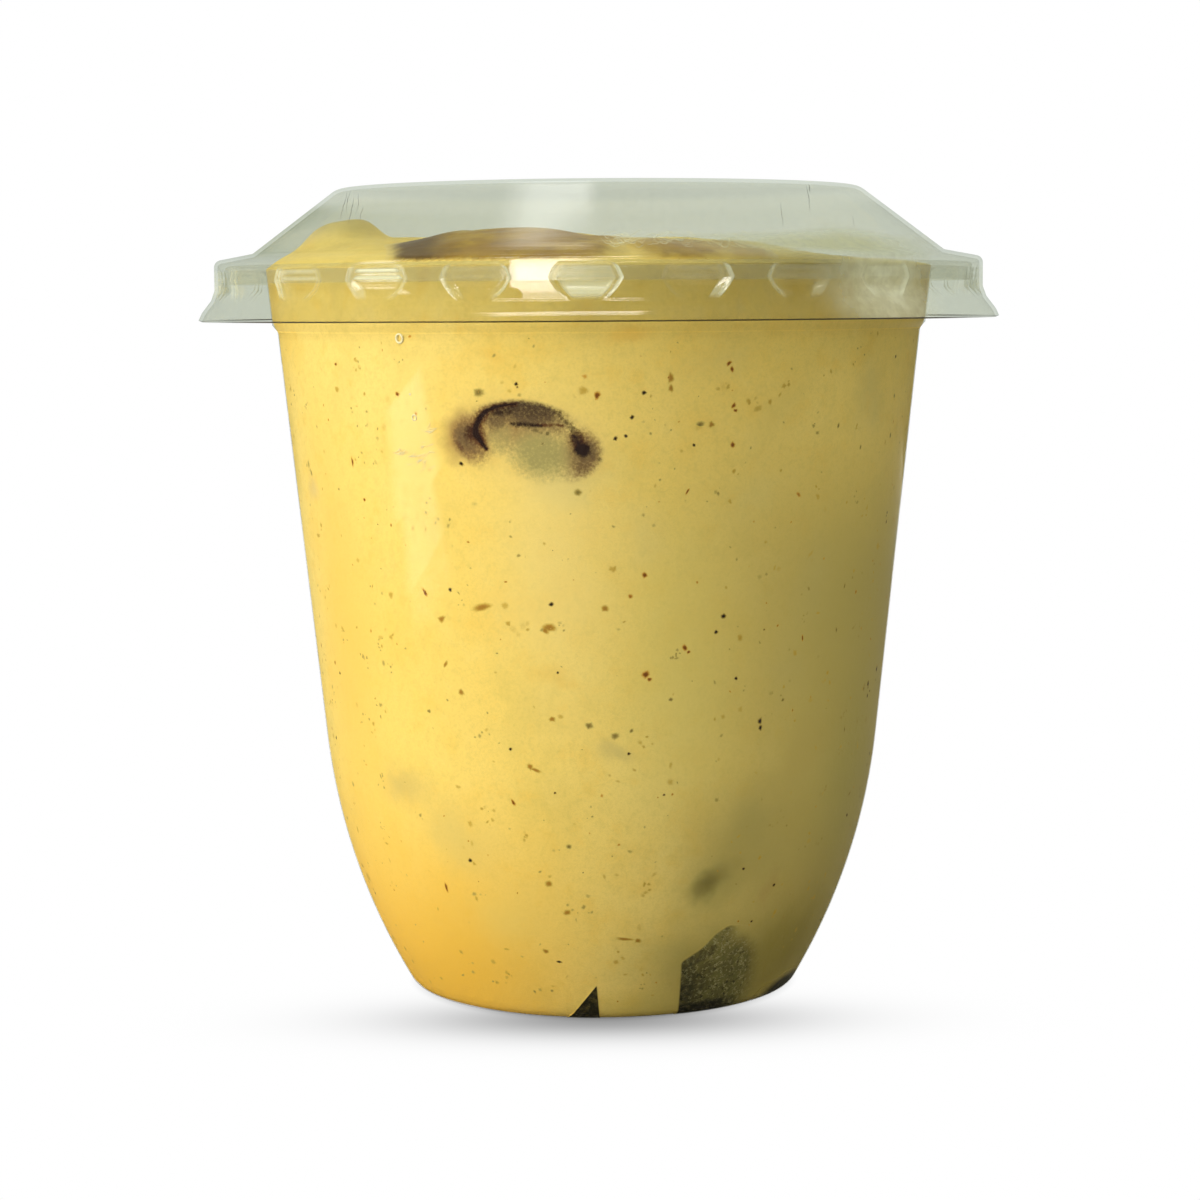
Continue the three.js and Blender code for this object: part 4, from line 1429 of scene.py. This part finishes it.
def fade_sides(data, soft):
    """Fades a light towards its left, right, lower and upper side, each over a share of its size."""
    nodes = Nodes(data)
    over = nodes.split(nodes.add("ShaderNodeNewGeometry").outputs["Parametric"])
    strength = 1.0
    for share, axis, from_end in zip(soft, ("X", "X", "Y", "Y"), (False, True, False, True)):
        if share:
            place = nodes.math("SUBTRACT", 1.0, over[axis]) if from_end else over[axis]
            strength = nodes.times(nodes.ramp(place, 0.0, share), strength)
    glow = nodes.add("ShaderNodeEmission", {"Strength": strength})
    output = nodes.add("ShaderNodeOutputLight")
    nodes.tree.links.new(glow.outputs[0], output.inputs["Surface"])


WHITE = (1, 1, 1)
WARM = (1.0, 0.95, 0.87)
CARD = (1.0, 0.98, 0.9)
FACE_UP = (180, 0, 0)
FACE_DOWN = (0, 0, 0)
ALONG_CARDS = (180, 0, -79.5)
# Lamps that light surfaces: name, bearing, distance from the axis, height, height aimed at, size, the share
# of full white that a surface facing it has, the distance that this share is for, and colour
LAMPS = [
    ("key", -68, 800, 110, 45, (460, 460), 1.18, 800, WARM),
    ("front", 2, 700, 480, 60, (500, 400), 0.34, 830, WHITE),
    ("top", 180, 40, 900, 90, (400, 400), 0.30, 810, WHITE),
    ("right", 85, 600, 620, 70, (360, 360), 0.14, 810, WHITE),
    ("back", 168, 800, 170, 50, (500, 500), 0.70, 810, WHITE),
]
# Panels that are mirrored in the plastic: name, place, aim, size, radiance, colour, soft sides and turn.
# The two cards on the table make one band on the wall.
PANELS = [
    ("left_strip", at_bearing(-65, 620, 200), (0, 0, 60), (130, 480), 3.4, WHITE, None, None),
    ("window", at_bearing(-9.6, 700, 440), (0, 0, 440), (357, 760), 9.0, WARM, (0, 0.6, 0.05, 0.5), None),
    ("dome_light", (-76, 208, 620), None, (165, 190), 3.2, WHITE, (0.45, 0.2, 0.12, 0.12), FACE_DOWN),
    ("flare_light", (-98, -350, 620), None, (450, 190), 9.0, WARM, (0.2, 0.1, 0.2, 0.2), FACE_DOWN),
    ("far_card", (-344, -125, 1), None, (150, 130), 2.3, CARD, (0.3, 0.2, 0.0, 0.0), ALONG_CARDS),
    ("near_card", (-228, -103, 1), None, (100, 106), 2.3, CARD, (0.3, 0.2, 0.5, 0.0), ALONG_CARDS),
]
# The light that the bright table throws up at the left of the cup's foot
GLOW_SIZE = (190, 190)
GLOW_RADIANCE = 0.35
GLOW_COLOUR = (1.0, 0.86, 0.66)


def lambert_power(share, distance):
    """The power that lights a white surface facing a lamp at a distance to a share of full white."""
    return share * math.pi ** 2 * (distance * MM) ** 2


def radiance_power(radiance, size):
    """The power that gives a panel of a size a radiance."""
    return radiance * math.pi * size[0] * size[1] * MM ** 2


def build_lights():
    for name, bearing, distance, height, aim_z, size, share, reach, colour in LAMPS:
        place = at_bearing(bearing, distance, height)
        add_light(name, place, (0, 0, aim_z), size, lambert_power(share, reach), "diffuse", colour)
    place, power = at_bearing(-58, 150, 1), radiance_power(GLOW_RADIANCE, GLOW_SIZE)
    add_light("table_glow", place, None, GLOW_SIZE, power, "diffuse", GLOW_COLOUR, turn=FACE_UP)
    for name, place, aim, size, radiance, *look in PANELS:
        add_light(name, place, aim, size, radiance_power(radiance, size), "glossy", *look)


def build_world():
    """White to the camera, greyer through plastic, and dim to the light that falls on the object."""
    world = bpy.data.worlds.new("studio")
    bpy.context.scene.world = world
    nodes = Nodes(world)
    path = nodes.add("ShaderNodeLightPath")
    depth = nodes.split(nodes.add("ShaderNodeTexCoord").outputs["Generated"])["Y"]
    mirrored = nodes.mix(nodes.ramp(depth, 0.2, 0.9), (0.06, 0.063, 0.06), (0.50, 0.53, 0.50))
    dim = nodes.mix(path.outputs["Is Glossy Ray"], (0.335, 0.36, 0.35), mirrored)
    shaded = nodes.add("ShaderNodeBackground", {"Color": dim})
    through = nodes.ramp(path.outputs["Transparent Depth"], 0.0, 1.0)
    white = nodes.add("ShaderNodeBackground", {"Color": nodes.mix(through, (1, 1, 1), (0.75, 0.80, 0.75))})
    seen = path.outputs["Is Camera Ray"]
    both = nodes.add("ShaderNodeMixShader", {0: seen, 1: shaded.outputs[0], 2: white.outputs[0]})
    output = nodes.add("ShaderNodeOutputWorld")
    nodes.tree.links.new(both.outputs[0], output.inputs["Surface"])


FLOOR_HALF = 4.0
# The soft shadow in front of the cup's foot: its middle, its reach across and in depth, and its depth
SHADOW_MIDDLE = (0.0, -0.0244, 0.0)
SHADOW_REACH = (0.0235, 0.0100, 1.0)
SHADOW_DEPTH = 0.67
# The close shadow under the cup's edge: radius where it starts and ends, and depth
CONTACT_SHADOW = (0.0235, 0.0262, 0.25)


def build_floor():
    """A white floor that darkens close to the cup, and reflects as a mid-grey table does."""
    mesh = bpy.data.meshes.new("floor")
    signs = ((-1, -1), (1, -1), (1, 1), (-1, 1))
    mesh.from_pydata([(x * FLOOR_HALF, y * FLOOR_HALF, 0) for x, y in signs], [], [(0, 1, 2, 3)])
    material, nodes, place = new_material("floor")
    away = nodes.vector("LENGTH", place)
    start, end, depth = CONTACT_SHADOW
    contact = nodes.ramp(away, start, end, 1 - depth, 1.0)
    inputs = {"Vector": place, "Location": SHADOW_MIDDLE, "Scale": SHADOW_REACH}
    spread = nodes.add("ShaderNodeMapping", inputs, vector_type="TEXTURE").outputs[0]
    square = nodes.vector("DOT_PRODUCT", spread, spread)
    fall = nodes.math("EXPONENT", nodes.times(square, -1.0))
    shade = nodes.times(nodes.math("MULTIPLY_ADD", fall, -SHADOW_DEPTH, 1.0), contact)
    glow = nodes.add("ShaderNodeEmission", {"Color": (1, 1, 1, 1), "Strength": shade})
    table = nodes.add("ShaderNodeBsdfDiffuse", {"Color": (0.30, 0.275, 0.225, 1)})
    seen = nodes.add("ShaderNodeLightPath").outputs["Is Camera Ray"]
    both = nodes.add("ShaderNodeMixShader", {0: seen, 1: table.outputs[0], 2: glow.outputs[0]})
    nodes.surface(both.outputs[0])
    mesh.materials.append(material)
    floor = bpy.data.objects.new("floor", mesh)
    bpy.context.scene.collection.objects.link(floor)


CAMERA_PLACE = (-0.0001, -0.3947, 0.090)
CAMERA_DOWN = 5.71
CAMERA_ROLL = -0.4


def build_camera():
    data = bpy.data.cameras.new("camera")
    data.sensor_width = 36.0
    data.lens = 90.0
    data.clip_start = 0.01
    data.clip_end = 20.0
    camera = bpy.data.objects.new("camera", data)
    pitch = Matrix.Rotation(math.radians(90 - CAMERA_DOWN), 4, "X")
    roll = Matrix.Rotation(math.radians(CAMERA_ROLL), 4, "Z")
    camera.matrix_world = Matrix.Translation(CAMERA_PLACE) @ pitch @ roll
    bpy.context.scene.collection.objects.link(camera)
    bpy.context.scene.camera = camera


build_world()
build_floor()
build_lights()
build_camera()

scene = bpy.context.scene
scene.view_settings.view_transform = "Standard"
scene.cycles.transparent_max_bounces = 32
scene.cycles.max_bounces = 8
